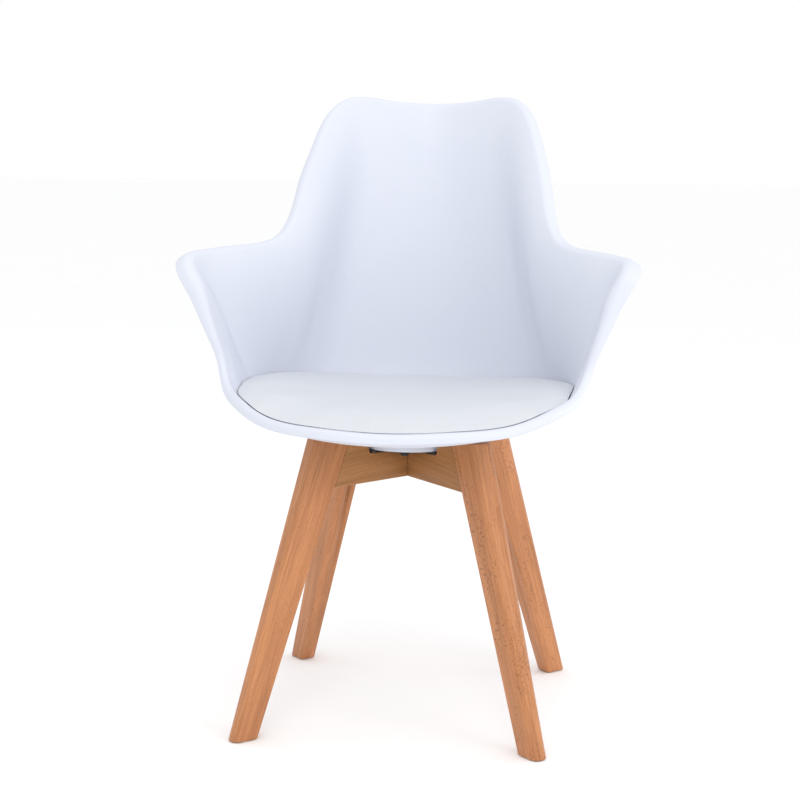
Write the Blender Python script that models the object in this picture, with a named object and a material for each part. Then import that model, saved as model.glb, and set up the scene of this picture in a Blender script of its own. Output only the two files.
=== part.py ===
"""Dining armchair: a moulded shell with a fixed seat pad on a crossed beech base.

Metres, +Z up. The chair faces -Y. The origin is on the floor, at the middle of the object's box.
"""

import math

import bmesh
import bpy
import numpy as np
from mathutils import Matrix, Vector

MM = 0.001
GAP = 0.0003  # kept between touching pieces

# Shell: seat pan
PAN_CENTRE_Y = -0.020
PAN_HALF_WIDTH = 0.212
PAN_FRONT = 0.187
PAN_BACK = 0.180
PAN_LOW_Z = 0.3955
PAN_DISH_POWER = 2.4
PAN_CORNER_POWER = 2.2  # of the superellipse at the front; squarer towards the back
PAN_BACK_CORNER_GAIN = 0.25
PAN_EDGE_Z = 0.4135
PAN_EDGE_FRONT_DROP = 0.0105
PAN_EDGE_SIDE_RISE = 0.0195
PAN_SLOPE_FRACTION = 0.98  # the wall leaves the pan in line with the slope from here to the edge
SHELL_THICKNESS = 0.0042
PAN_FRACTIONS = (0.35, 0.65, 0.88)
SHELL_AROUND = 80
WALL_RINGS = 8
ROLL_RINGS = 3
WALL_STEP_POWER = 1.5  # rings stand closer together where the wall curves out of the pan

# Shell: one row per station, from the middle of the front lip round the right side to the middle of
# the back's top. Each row holds, in mm and degrees: where the rolled rim starts (x, y, z), the way
# the sheet runs there (x, y, z), the pan angle that the wall rises from, how far it leaves the pan
# flat, how far it follows its end direction, and the rim's roll: radius, sweep, flat end.
STATIONS = (
    ("front", (0, -224, 415), (0, -35, 94), 0, 6, 4, 7, 160, 4),
    ("front_quarter", (83, -213, 418), (10, -35, 93), 24, 6, 4, 7, 160, 4),
    ("front_corner", (154, -179, 424), (28, -30, 92), 43, 7, 5, 7, 155, 4),
    ("corner_side", (203, -132, 442), (45, -32, 86), 59, 8, 7, 7, 145, 4),
    ("notch", (232, -89, 464), (45, -60, 70), 70, 10, 10, 6, 130, 3),
    ("arm_root", (240, -77, 487), (28, -90, 25), 77, 12, 20, 6, 110, 2),
    ("arm_front_low", (248, -77, 515), (20, -97, 5), 82, 14, 32, 7, 100, 3),
    ("arm_front_mid", (258, -78, 548), (20, -97, 5), 86, 16, 40, 9, 98, 5),
    ("arm_front_high", (269, -78, 588), (24, -95, 18), 90, 18, 46, 12, 98, 8),
    ("arm_tip", (284, -70, 619), (42, -64, 64), 94, 20, 50, 12, 100, 9),
    ("arm_top_front", (273, -38, 626), (48, -10, 87), 98, 22, 60, 12, 105, 9),
    ("arm_top_mid", (245, -4, 629), (42, 0, 90), 105, 24, 70, 12, 105, 8),
    ("arm_top_back", (215, 30, 632), (35, 0, 93), 113, 26, 80, 11, 100, 6),
    ("junction", (190, 60, 644), (45, -8, 88), 121, 28, 80, 10, 95, 4),
    ("back_side_low", (173, 84, 681), (85, -40, 34), 128, 30, 80, 10, 95, 4),
    ("back_side_mid", (164, 106, 728), (90, -40, 18), 136, 34, 85, 11, 95, 4),
    ("back_side_high", (150, 136, 782), (88, -38, 26), 144, 38, 85, 10, 95, 4),
    ("back_shoulder", (136, 158, 819), (72, -22, 66), 151, 42, 95, 9, 95, 3),
    ("top_corner", (114, 181, 839), (38, 2, 92), 158, 46, 120, 8, 95, 3),
    ("top_quarter", (62, 209, 837), (8, 14, 98), 168, 50, 165, 7, 95, 3),
    ("top_middle", (0, 224, 833), (0, 18, 98), 180, 50, 175, 7, 95, 3),
)

# Shell: boss under the pan, with a post for each bolt
BOSS_RADIUS = 0.071
BOSS_WALL = 0.004
BOSS_BOTTOM_Z = 0.3690
BOSS_EDGE = 0.0015
BOSS_SIDES = 40
POST_RADIUS = 0.0095
POST_CIRCLE = 0.046
INSERT_HOLE_RADIUS = 0.0056
INSERT_HOLE_TOP_Z = 0.3895
OVERRUN = 0.010  # how far a cutter runs past the face that it cuts

# Seat pad
PAD_SIDE_GAP = 0.0015
PAD_AROUND = 44
PAD_FRONT_Z = 0.4180
PAD_SIDE_Z = 0.4540
PAD_BACK_Z = 0.4380
PAD_MIDDLE_Z = 0.4360
PAD_EDGE_RISE = 0.0075
PAD_EDGE_LIFT = 0.0008
PAD_SKIN = 0.0012
PAD_BOARD_THICKNESS = 0.0050
PAD_SCREW_SPOTS = ((-0.095, -0.110), (0.095, -0.110), (-0.095, 0.085), (0.095, 0.085))
PAD_TOP_FRACTIONS = (1.0, 0.98, 0.92, 0.78, 0.55, 0.28)
PAD_SIDE_FRACTION = 0.98
PAD_TURN_IN_FRACTION = 0.88  # where the cover's turned in edge ends
PAD_BOARD_FRACTION = 0.96
PAD_UNDER_GAP = 2 * GAP

# Legs: faces are planes whose radius from the chair's axis falls with height
LEG_OUTER_RADIUS = 0.2890
LEG_OUTER_LEAN = 0.324
LEG_INNER_RADIUS = 0.2543
LEG_INNER_LEAN = 0.369
LEG_HALF_WIDTH = 0.0117
LEG_HALF_WIDTH_GROWTH = 0.0102
LEG_BOTTOM_Z = 0.0010
LEG_TOP_Z = 0.3920
LEG_OUTER_CORNER = 0.0100
LEG_INNER_CORNER = 0.0015
LEG_EASE = 0.0012
LEG_CORNER_STEPS = 5

# Rails: halved over each other, with a flat let into their tops for the plate
RAIL_WIDTH = 0.0270
RAIL_BOTTOM_Z = 0.3280
RAIL_BOTTOM_FALL = 0.030
RAIL_TOP_Z = 0.3820
RAIL_FLAT_Z = 0.3654
RAIL_FLAT_HALF = 0.0765
RAIL_FLAT_RUN_OUT = 0.0040
RAIL_LAP_Z = 0.3470
RAIL_EASE = 0.0008
DOWEL_RADIUS = 0.0040
DOWEL_LENGTH = 0.0320
DOWEL_HEIGHTS = (0.3360, 0.3690)
DOWEL_END_GAP = 0.0006
DOWEL_HOLE_MOUTH = 0.0020
DOWEL_SIDES = 10

# Plate and fasteners
PLATE_HUB_RADIUS = 0.0560
PLATE_ARM_REACH = 0.0740
PLATE_ARM_HALF_WIDTH = 0.0150
PLATE_THICKNESS = 0.0030
PLATE_CORNER = 0.0060
PLATE_SCREW_CIRCLE = 0.0600
BOLT_RADIUS = 0.0030
BOLT_HEAD_RADIUS = 0.0055
BOLT_HEAD_HEIGHT = 0.0040
BOLT_TOP_Z = 0.3860
WASHER_RADIUS = 0.0085
WASHER_THICKNESS = 0.0012
INSERT_BOTTOM_Z = 0.3700
INSERT_TOP_Z = 0.3880
PLATE_SCREW_RADIUS = 0.0020
PLATE_SCREW_LENGTH = 0.0160
PLATE_SCREW_HEAD_RADIUS = 0.0042
PAD_SCREW_RADIUS = 0.0017
PAD_SCREW_HEAD_RADIUS = 0.0040
SCREW_HEAD_HEIGHT = 0.0020
PAD_SCREW_SEAT_GAP = 0.0016  # the dish slopes under a flat screw head
HOLE_CLEARANCE = 0.0004
GLIDE_RADIUS = 0.0090
GLIDE_THICKNESS = 0.0030
GLIDE_EASE = 0.0006
ROUND_SIDES = 14
SMALL_HOLE_SIDES = 12
GLIDE_SIDES = 24

CORNERS = (
    ("front_right", 1, -1),
    ("rear_right", 1, 1),
    ("rear_left", -1, 1),
    ("front_left", -1, -1),
)


# --- Materials -------------------------------------------------------------------------------


def principled(name, colour, roughness, metallic=0.0):
    material = bpy.data.materials.new(name)
    material.use_nodes = True
    shader = material.node_tree.nodes["Principled BSDF"]
    shader.inputs["Base Color"].default_value = (*colour, 1.0)
    shader.inputs["Roughness"].default_value = roughness
    shader.inputs["Metallic"].default_value = metallic
    return material


def shell_plastic():
    return principled("shell_plastic", (0.80, 0.83, 0.88), 0.42)


def pad_leather():
    return principled("pad_leather", (0.77, 0.80, 0.81), 0.45)


def foam():
    return principled("foam", (0.85, 0.80, 0.62), 0.95)


def board():
    return principled("board", (0.10, 0.10, 0.10), 0.60)


def beech():
    return principled("beech", (0.52, 0.27, 0.12), 0.40)


def dowel_beech():
    return principled("dowel_beech", (0.62, 0.42, 0.24), 0.60)


def black_steel():
    return principled("black_steel", (0.015, 0.015, 0.017), 0.45, 0.6)


def zinc():
    return principled("zinc", (0.62, 0.62, 0.60), 0.35, 1.0)


def brass():
    return principled("brass", (0.72, 0.52, 0.22), 0.30, 1.0)


def nylon():
    return principled("nylon", (0.78, 0.77, 0.74), 0.55)


# --- Small helpers ---------------------------------------------------------------------------


def unit(rows):
    return rows / np.linalg.norm(rows, axis=-1, keepdims=True)


def make_object(name, vertices, faces, material, sharp_angle=None):
    """A mesh object, smooth except along edges sharper than sharp_angle."""
    mesh = bpy.data.meshes.new(name)
    mesh.from_pydata([tuple(map(float, vertex)) for vertex in vertices], [], faces)
    mesh.validate()
    fix = bmesh.new()
    fix.from_mesh(mesh)
    bmesh.ops.recalc_face_normals(fix, faces=fix.faces)
    fix.to_mesh(mesh)
    fix.free()
    if sharp_angle is not None:
        mesh.shade_smooth()
        mesh.set_sharp_from_angle(angle=math.radians(sharp_angle))
    mesh.materials.append(material)
    obj = bpy.data.objects.new(name, mesh)
    bpy.context.scene.collection.objects.link(obj)
    return obj


def ring_stack(rings, pole_start=None, pole_end=None):
    """Vertices and faces of closed rings of equal count, joined in turn and closed at both ends."""
    count = len(rings[0])
    vertices = [point for ring in rings for point in ring]
    faces = []
    for level in range(len(rings) - 1):
        for i in range(count):
            j = (i + 1) % count
            low, high = level * count, (level + 1) * count
            faces.append((low + i, low + j, high + j, high + i))
    last = (len(rings) - 1) * count
    for pole, start in ((pole_start, 0), (pole_end, last)):
        if pole is None:
            faces.append(tuple(range(start, start + count)))
            continue
        vertices.append(pole)
        tip = len(vertices) - 1
        faces += [(start + i, start + (i + 1) % count, tip) for i in range(count)]
    return vertices, faces


def torus_stack(rings):
    """Vertices and faces of closed rings joined in turn, the last to the first."""
    vertices, faces = ring_stack(rings)
    faces = faces[:-2]
    count = len(rings[0])
    last = (len(rings) - 1) * count
    for i in range(count):
        j = (i + 1) % count
        faces.append((last + i, last + j, j, i))
    return vertices, faces


def circle(radius, z, sides, centre=(0.0, 0.0)):
    return [
        (
            centre[0] + radius * math.cos(2 * math.pi * i / sides),
            centre[1] + radius * math.sin(2 * math.pi * i / sides),
            z,
        )
        for i in range(sides)
    ]


def turned(name, profile, material, centre, sides=ROUND_SIDES):
    """A solid of revolution about a vertical axis, from its (radius, z) outline, bottom to top."""
    rings = [circle(radius, z, sides, centre) for radius, z in profile]
    return make_object(name, *ring_stack(rings), material, 40)


def tube(name, outer, inner, low, high, material, centre):
    """A washer or sleeve with a hole through it."""
    corners = ((outer, low), (outer, high), (inner, high), (inner, low))
    rings = [circle(radius, z, ROUND_SIDES, centre) for radius, z in corners]
    return make_object(name, *torus_stack(rings), material, 40)


def cutter(obj):
    obj.hide_render = True
    obj.display_type = "WIRE"
    return obj


def boolean(target, other, operation):
    modifier = target.modifiers.new(f"{operation.lower()}_{other.name}", "BOOLEAN")
    modifier.operation = operation
    modifier.solver = "EXACT"
    modifier.object = other


def drill(target, name, radius, low, high, spot, sides=SMALL_HOLE_SIDES):
    """Cuts an upright round hole."""
    profile = ((radius, low), (radius, high))
    hole = turned(name, profile, target.data.materials[0], spot, sides)
    boolean(target, cutter(hole), "DIFFERENCE")


# --- Shell surface ---------------------------------------------------------------------------


def closed_spline(knots, values, at):
    """Smooth periodic curve through the values at the knots; the last knot repeats the first."""
    steps = np.diff(knots)
    count = len(steps)
    values = np.asarray(values, float)[:count]
    matrix = np.zeros((count, count))
    right = np.zeros_like(values)
    slopes = (np.roll(values, -1, axis=0) - values) / steps[:, None]
    for i in range(count):
        before = steps[i - 1]
        matrix[i, i - 1] += before
        matrix[i, i] += 2 * (before + steps[i])
        matrix[i, (i + 1) % count] += steps[i]
        right[i] = 6 * (slopes[i] - slopes[i - 1])
    bend = np.linalg.solve(matrix, right)
    place = np.clip(np.searchsorted(knots, at, side="right") - 1, 0, count - 1)
    after = (place + 1) % count
    step = steps[place][:, None]
    b = (at - knots[place])[:, None]
    a = step - b
    cubic = bend[place] * a**3 + bend[after] * b**3
    linear_a = values[place] / step - bend[place] * step / 6
    linear_b = values[after] / step - bend[after] * step / 6
    return cubic / (6 * step) + linear_a * a + linear_b * b


def station_loop():
    """Rows of numbers for every station all the way round, with a knot value for each."""
    half = [
        [*rim, *way, angle, leave, follow, roll, sweep, flat]
        for _, rim, way, angle, leave, follow, roll, sweep, flat in STATIONS
    ]
    half = np.array(half, float)
    half[:, :3] *= MM
    half[:, 3:6] = unit(half[:, 3:6])
    half[:, 6] = np.radians(half[:, 6])
    half[:, 7:10] *= MM
    half[:, 10] = np.radians(half[:, 10])
    half[:, 11] *= MM
    other = half[-2:0:-1].copy()
    other[:, 0] *= -1
    other[:, 3] *= -1
    other[:, 6] = 2 * math.pi - other[:, 6]
    loop = np.concatenate([half, other, half[:1]])
    loop[-1, 6] = 2 * math.pi
    knots = np.concatenate([[0], np.cumsum(np.linalg.norm(np.diff(loop[:, :3], axis=0), axis=1))])
    return knots / knots[-1], loop


def pan_edge(angle):
    """Plan point of the pan's edge at an angle from the front, and its height."""
    power = 2 / (PAN_CORNER_POWER + PAN_BACK_CORNER_GAIN * (1 - np.cos(angle)))
    depth = np.where(np.cos(angle) > 0, PAN_FRONT, PAN_BACK)
    x = PAN_HALF_WIDTH * np.sign(np.sin(angle)) * np.abs(np.sin(angle)) ** power
    y = PAN_CENTRE_Y - depth * np.sign(np.cos(angle)) * np.abs(np.cos(angle)) ** power
    z = PAN_EDGE_Z - PAN_EDGE_FRONT_DROP * np.cos(angle) + PAN_EDGE_SIDE_RISE * np.sin(angle) ** 2
    return np.stack([x, y, z], axis=-1)


def pan_points(angle, fraction):
    """Points on the pan's dished top, a fraction of the way from its middle to its edge."""
    edge = pan_edge(angle)
    middle = np.array([0.0, PAN_CENTRE_Y, PAN_LOW_Z])
    points = middle + (edge - middle) * fraction
    points[..., 2] = PAN_LOW_Z + (edge[..., 2] - PAN_LOW_Z) * fraction**PAN_DISH_POWER
    return points


def pan_height(x, y):
    """Height of the pan's top over a plan point."""
    angle = math.atan2(x / PAN_HALF_WIDTH, (PAN_CENTRE_Y - y) / PAN_FRONT)
    edge = pan_edge(np.array([angle]))[0]
    fraction = math.hypot(x, y - PAN_CENTRE_Y) / math.hypot(edge[0], edge[1] - PAN_CENTRE_Y)
    return PAN_LOW_Z + (edge[2] - PAN_LOW_Z) * fraction**PAN_DISH_POWER


def shell_columns(at):
    """For each place round the rim: the wall's four Bezier points, and its row of station numbers."""
    knots, loop = station_loop()
    rows = closed_spline_with_turn(knots, loop, at)
    rim = rows[:, :3]
    way = unit(rows[:, 3:6])
    angle, leave, follow = rows[:, 6], rows[:, 7:8], rows[:, 8:9]
    edge = pan_edge(angle)
    inner = pan_points(angle, PAN_SLOPE_FRACTION)
    outward = unit(edge - inner)
    return np.stack([edge, edge + outward * leave, rim - way * follow, rim], axis=1), rows


def closed_spline_with_turn(knots, loop, at):
    """The station numbers at each place; the pan angle gains a full turn on the way round."""
    level = loop.copy()
    level[:, 6] -= 2 * math.pi * knots
    rows = closed_spline(knots, level, at)
    rows[:, 6] += 2 * math.pi * at
    return rows


def wall_points(bezier, t):
    weights = ((1 - t) ** 3, 3 * t * (1 - t) ** 2, 3 * t**2 * (1 - t), t**3)
    return sum(weight * bezier[:, i] for i, weight in enumerate(weights))


def grid_normals(rings):
    """Unit normals of a stack of closed rings, pointing to the shell's outside."""
    around = np.roll(rings, -1, axis=1) - np.roll(rings, 1, axis=1)
    across = np.gradient(rings, axis=0)
    return unit(np.cross(around, across))


def wall_steps(count):
    return np.linspace(0, 1, count + 1) ** WALL_STEP_POWER


def sheet_rings(around, wall_rings, roll_rings):
    """Top and hidden faces of the moulded sheet, as rings from the pan's middle to the rim's end.

    The columns are shared evenly among the stations, which stand closer together at the corners.
    """
    knots, _ = station_loop()
    at = np.interp(np.arange(around) / around, np.linspace(0, 1, len(knots)), knots)
    bezier, rows = shell_columns(at)
    angle = rows[:, 6]
    rings = [pan_points(angle, fraction) for fraction in PAN_FRACTIONS]
    rings += [wall_points(bezier, t) for t in wall_steps(wall_rings)]
    top = np.array(rings)
    normals = grid_normals(top)
    hidden = top + normals * SHELL_THICKNESS
    rim, out = top[-1], normals[-1]
    way = unit(rows[:, 3:6])
    way = unit(way - out * (way * out).sum(axis=1, keepdims=True))
    radius, sweep, flat = rows[:, 9:10], rows[:, 10:11], rows[:, 11:12]
    centre = rim + out * radius
    roll_top, roll_hidden = [], []
    for i in range(1, roll_rings + 1):
        turn = sweep * i / roll_rings
        inward = out * np.cos(turn) - way * np.sin(turn)
        roll_top.append(centre - inward * radius)
        roll_hidden.append(centre - inward * (radius - SHELL_THICKNESS))
    ahead = out * np.sin(sweep) + way * np.cos(sweep)
    roll_top.append(roll_top[-1] + ahead * flat)
    roll_hidden.append(roll_hidden[-1] + ahead * flat)
    return np.concatenate([top, roll_top]), np.concatenate([hidden, roll_hidden])


def sheet_solid(around, wall_rings, roll_rings):
    """The moulded sheet as one closed body, with a soft nose along the rim's end."""
    top, hidden = sheet_rings(around, wall_rings, roll_rings)
    nose = (top[-1] + hidden[-1]) / 2 + unit(top[-1] - top[-2]) * SHELL_THICKNESS / 2
    rings = [*top, nose, *hidden[::-1]]
    middle = (0.0, PAN_CENTRE_Y, PAN_LOW_Z)
    under = (0.0, PAN_CENTRE_Y, PAN_LOW_Z - SHELL_THICKNESS)
    return ring_stack(rings, pole_start=middle, pole_end=under)


# --- Shell -----------------------------------------------------------------------------------


def raised_to_pan(ring):
    """The ring's points at the heights where they end, halfway through the sheet of the pan."""
    return [(x, y, pan_height(x, y) - SHELL_THICKNESS / 2) for x, y, _ in ring]


def boss_rings():
    """The round wall under the pan: down its outside, round its bottom edge and up its inside."""
    inner = BOSS_RADIUS - BOSS_WALL
    outline = (
        (BOSS_RADIUS, BOSS_BOTTOM_Z + BOSS_EDGE),
        (BOSS_RADIUS - BOSS_EDGE, BOSS_BOTTOM_Z),
        (inner, BOSS_BOTTOM_Z),
    )
    rings = [circle(radius, z, BOSS_SIDES) for radius, z in outline]
    tops = [raised_to_pan(circle(radius, 0.0, BOSS_SIDES)) for radius in (BOSS_RADIUS, inner)]
    return [tops[0], *rings, tops[1]]


def post_rings(spot):
    ring = circle(POST_RADIUS, BOSS_BOTTOM_Z, SMALL_HOLE_SIDES, spot)
    return [ring, raised_to_pan(ring)]


def bolt_spots():
    return [
        (POST_CIRCLE * math.cos(turn), POST_CIRCLE * math.sin(turn))
        for turn in (math.pi / 2 * i for i in range(4))
    ]


def seat_shell(material):
    vertices, faces = sheet_solid(SHELL_AROUND, WALL_RINGS, ROLL_RINGS)
    shell = make_object("seat_shell", vertices, faces, material, 50)
    boss = make_object("boss_ring", *torus_stack(boss_rings()), material)
    boolean(shell, cutter(boss), "UNION")
    for i, spot in enumerate(bolt_spots(), start=1):
        post = make_object(f"post_{i}", *ring_stack(post_rings(spot)), material)
        boolean(shell, cutter(post), "UNION")
    for i, spot in enumerate(bolt_spots(), start=1):
        low, high = BOSS_BOTTOM_Z - OVERRUN, INSERT_HOLE_TOP_Z
        drill(shell, f"insert_hole_{i}", INSERT_HOLE_RADIUS, low, high, spot)
    for i, spot in enumerate(PAD_SCREW_SPOTS, start=1):
        top = pan_height(*spot)
        radius = PAD_SCREW_RADIUS + HOLE_CLEARANCE
        drill(shell, f"pad_screw_hole_{i}", radius, top - 2 * OVERRUN, top + OVERRUN, spot)


# --- Seat pad --------------------------------------------------------------------------------


def pad_edge_height(angle):
    """Height of the line where the pad meets the shell, at an angle from the front."""
    front = PAD_FRONT_Z + (PAD_SIDE_Z - PAD_FRONT_Z) * np.abs(np.sin(angle)) ** 3
    back = PAD_BACK_Z + (PAD_SIDE_Z - PAD_BACK_Z) * np.sin(angle) ** 2
    return np.where(np.cos(angle) > 0, front, back)


def pad_columns(around):
    """For even angles round the pan: each angle, its wall's Bezier points and the pad's edge."""
    at = np.linspace(0, 1, 801)
    _, rows = shell_columns(at)
    angle = np.arange(around) * 2 * math.pi / around
    places = np.interp(angle, rows[:, 6], at)
    bezier, _ = shell_columns(places)
    heights = pad_edge_height(angle)
    walls = np.array([wall_points(bezier, t) for t in wall_steps(WALL_RINGS)])
    edge = np.empty((around, 3))
    for i in range(around):
        for axis in range(3):
            edge[i, axis] = np.interp(heights[i], walls[:, i, 2], walls[:, i, axis])
    edge[:, 2] += PAD_EDGE_LIFT
    return angle, edge


def pad_ring(angle, inset, fraction, lift):
    """A ring of the pad's bottom side: on the dish, lifted off it."""
    middle = np.array([0.0, PAN_CENTRE_Y])
    ring = pan_points(angle, fraction)
    ring[:, 2] += lift
    ring[:, :2] -= unit(ring[:, :2] - middle) * inset
    return ring


def pad_top(edge, fraction, drop):
    """A ring of the pad's crowned top, dropped square to the top by a skin's thickness."""
    middle = np.array([0.0, PAN_CENTRE_Y])
    way = edge[:, :2] - middle
    length = np.linalg.norm(way, axis=1, keepdims=True)
    shrink = (length - PAD_SIDE_GAP - drop) / length
    plan = middle + way * shrink * fraction
    base = edge[:, 2] * fraction**2 + PAD_MIDDLE_Z * (1 - fraction**2)
    rise = PAD_EDGE_RISE * math.sqrt(max(0.0, 1 - fraction**6))
    return np.column_stack([plan, base + rise - drop])


def pad_top_rings(edge, drop):
    rings = [pad_top(edge, fraction, drop) for fraction in PAD_TOP_FRACTIONS]
    peak = (0.0, PAN_CENTRE_Y, PAD_MIDDLE_Z + PAD_EDGE_RISE - drop)
    return rings, peak


def pad_cover(material, angle, edge):
    """The skin: over the top, down the sides and turned in under the board."""
    outer, peak = pad_top_rings(edge, 0.0)
    inner, peak_in = pad_top_rings(edge, PAD_SKIN)
    low, high = PAD_UNDER_GAP, PAD_UNDER_GAP + PAD_SKIN
    under = [
        pad_ring(angle, 0.0, PAD_SIDE_FRACTION, low),
        pad_ring(angle, 0.0, PAD_TURN_IN_FRACTION, low),
        pad_ring(angle, 0.0, PAD_TURN_IN_FRACTION, high),
        pad_ring(angle, PAD_SKIN, PAD_SIDE_FRACTION, high),
    ]
    rings = [*outer[::-1], *under, *inner]
    return make_object("pad_cover", *ring_stack(rings, peak, peak_in), material, 60)


def board_levels():
    """Heights of the board's two faces above the shell's pan."""
    low = PAD_UNDER_GAP + PAD_SKIN + GAP
    return low, low + PAD_BOARD_THICKNESS


def pad_foam(material, angle, edge):
    drop = PAD_SKIN + 1.5 * GAP
    rings, peak = pad_top_rings(edge, drop)
    lift = board_levels()[1] + GAP
    fractions = (PAD_SIDE_FRACTION, *PAN_FRACTIONS[::-1])
    bottom = [pad_ring(angle, drop, fraction, lift) for fraction in fractions]
    low = (0.0, PAN_CENTRE_Y, PAN_LOW_Z + lift)
    return make_object("pad_foam", *ring_stack([*rings[::-1], *bottom], peak, low), material, 60)


def pad_board(material, angle):
    low, high = board_levels()
    inset = PAD_SKIN + 1.5 * GAP
    fractions = (*PAN_FRACTIONS, PAD_BOARD_FRACTION)
    under = [pad_ring(angle, inset, fraction, low) for fraction in fractions]
    over = [pad_ring(angle, inset, fraction, high) for fraction in fractions[::-1]]
    poles = (0.0, PAN_CENTRE_Y, PAN_LOW_Z + low), (0.0, PAN_CENTRE_Y, PAN_LOW_Z + high)
    plate = make_object("pad_board", *ring_stack([*under, *over], *poles), material, 40)
    for i, spot in enumerate(PAD_SCREW_SPOTS, start=1):
        top = pan_height(*spot)
        radius = PAD_SCREW_RADIUS + HOLE_CLEARANCE
        hole_top = top + low + PAD_BOARD_THICKNESS * 0.8
        drill(plate, f"board_hole_{i}", radius, top - OVERRUN, hole_top, spot)


def pad_screws(material):
    for i, spot in enumerate(PAD_SCREW_SPOTS, start=1):
        top = pan_height(*spot)
        seat = top - SHELL_THICKNESS - PAD_SCREW_SEAT_GAP
        tip = top + board_levels()[0] + PAD_BOARD_THICKNESS * 0.7
        profile = (
            (PAD_SCREW_HEAD_RADIUS * 0.6, seat - SCREW_HEAD_HEIGHT),
            (PAD_SCREW_HEAD_RADIUS, seat - SCREW_HEAD_HEIGHT * 0.5),
            (PAD_SCREW_HEAD_RADIUS, seat),
            (PAD_SCREW_RADIUS, seat),
            (PAD_SCREW_RADIUS, tip),
        )
        turned(f"pad_screw_{i}", profile, material, spot, SMALL_HOLE_SIDES)


# --- Legs and rails --------------------------------------------------------------------------


def radial_frame(side_x, side_y):
    """Turns (radial, tangential, z) into the world for one diagonal."""
    out = Vector((side_x, side_y, 0)).normalized()
    across = Vector((0, 0, 1)).cross(out)
    frame = Matrix.Identity(4)
    for row in range(3):
        frame[row][0], frame[row][1], frame[row][2] = out[row], across[row], (0, 0, 1)[row]
    return frame


def corner_arc(centre, radius, start, steps):
    return [
        (
            centre[0] + radius * math.cos(start + math.pi / 2 * i / steps),
            centre[1] + radius * math.sin(start + math.pi / 2 * i / steps),
        )
        for i in range(steps + 1)
    ]


def leg_section(z, inset):
    """One level of a leg: well rounded outer corners and crisp inner ones."""
    outer = LEG_OUTER_RADIUS - LEG_OUTER_LEAN * z - inset
    inner = LEG_INNER_RADIUS - LEG_INNER_LEAN * z + inset
    half = LEG_HALF_WIDTH + LEG_HALF_WIDTH_GROWTH * z - inset
    big, small = LEG_OUTER_CORNER, LEG_INNER_CORNER
    section = corner_arc((outer - big, half - big), big, 0, LEG_CORNER_STEPS)
    section += corner_arc((inner + small, half - small), small, math.pi / 2, 1)
    section += corner_arc((inner + small, small - half), small, math.pi, 1)
    section += corner_arc((outer - big, big - half), big, 1.5 * math.pi, LEG_CORNER_STEPS)
    return [(x, y, z) for x, y in section]


def leg(side, side_x, side_y, material):
    levels = (
        (LEG_BOTTOM_Z, LEG_EASE),
        (LEG_BOTTOM_Z + LEG_EASE, 0.0),
        (LEG_TOP_Z - LEG_EASE, 0.0),
        (LEG_TOP_Z, LEG_EASE),
    )
    frame = radial_frame(side_x, side_y)
    rings = [[frame @ Vector(point) for point in leg_section(z, inset)] for z, inset in levels]
    post = make_object(f"leg_{side}", *ring_stack(rings), material, 35)
    for i, z in enumerate(DOWEL_HEIGHTS, start=1):
        boolean(post, dowel_hole(f"{side}_leg_{i}", z, frame, 1.0), "DIFFERENCE")
    low, high = -OVERRUN, GLIDE_THICKNESS + GAP
    spot = foot_centre(side_x, side_y)
    drill(post, f"glide_recess_{side}", GLIDE_RADIUS + GAP, low, high, spot, GLIDE_SIDES)


def foot_centre(side_x, side_y):
    radius = (LEG_OUTER_RADIUS + LEG_INNER_RADIUS) / 2
    return side_x * radius / math.sqrt(2), side_y * radius / math.sqrt(2)


def leg_inner_radius(z):
    return LEG_INNER_RADIUS - LEG_INNER_LEAN * z


def dowel_rings(start, end, z, radius, frame):
    rings = []
    for x in (start, end):
        turns = (2 * math.pi * i / DOWEL_SIDES for i in range(DOWEL_SIDES))
        rings.append(
            [frame @ Vector((x, radius * math.cos(a), z + radius * math.sin(a))) for a in turns]
        )
    return rings


def dowel_hole(name, z, frame, outward):
    """A hole from the leg's inner face, into the leg (outward 1) or into the rail (outward -1)."""
    face = leg_inner_radius(z)
    mouth = face - DOWEL_HOLE_MOUTH * outward
    end = face + (DOWEL_LENGTH / 2 + DOWEL_END_GAP) * outward
    rings = dowel_rings(mouth, end, z, DOWEL_RADIUS + GAP, frame)
    return cutter(make_object(f"hole_{name}", *ring_stack(rings), bpy.data.materials["dowel_beech"]))


def dowels(material):
    for side, side_x, side_y in CORNERS:
        frame = radial_frame(side_x, side_y)
        for i, z in enumerate(DOWEL_HEIGHTS, start=1):
            face = leg_inner_radius(z)
            half = DOWEL_LENGTH / 2
            rings = dowel_rings(face - half, face + half, z, DOWEL_RADIUS, frame)
            make_object(f"leg_dowel_{side}_{i}", *ring_stack(rings), material, 40)


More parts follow.
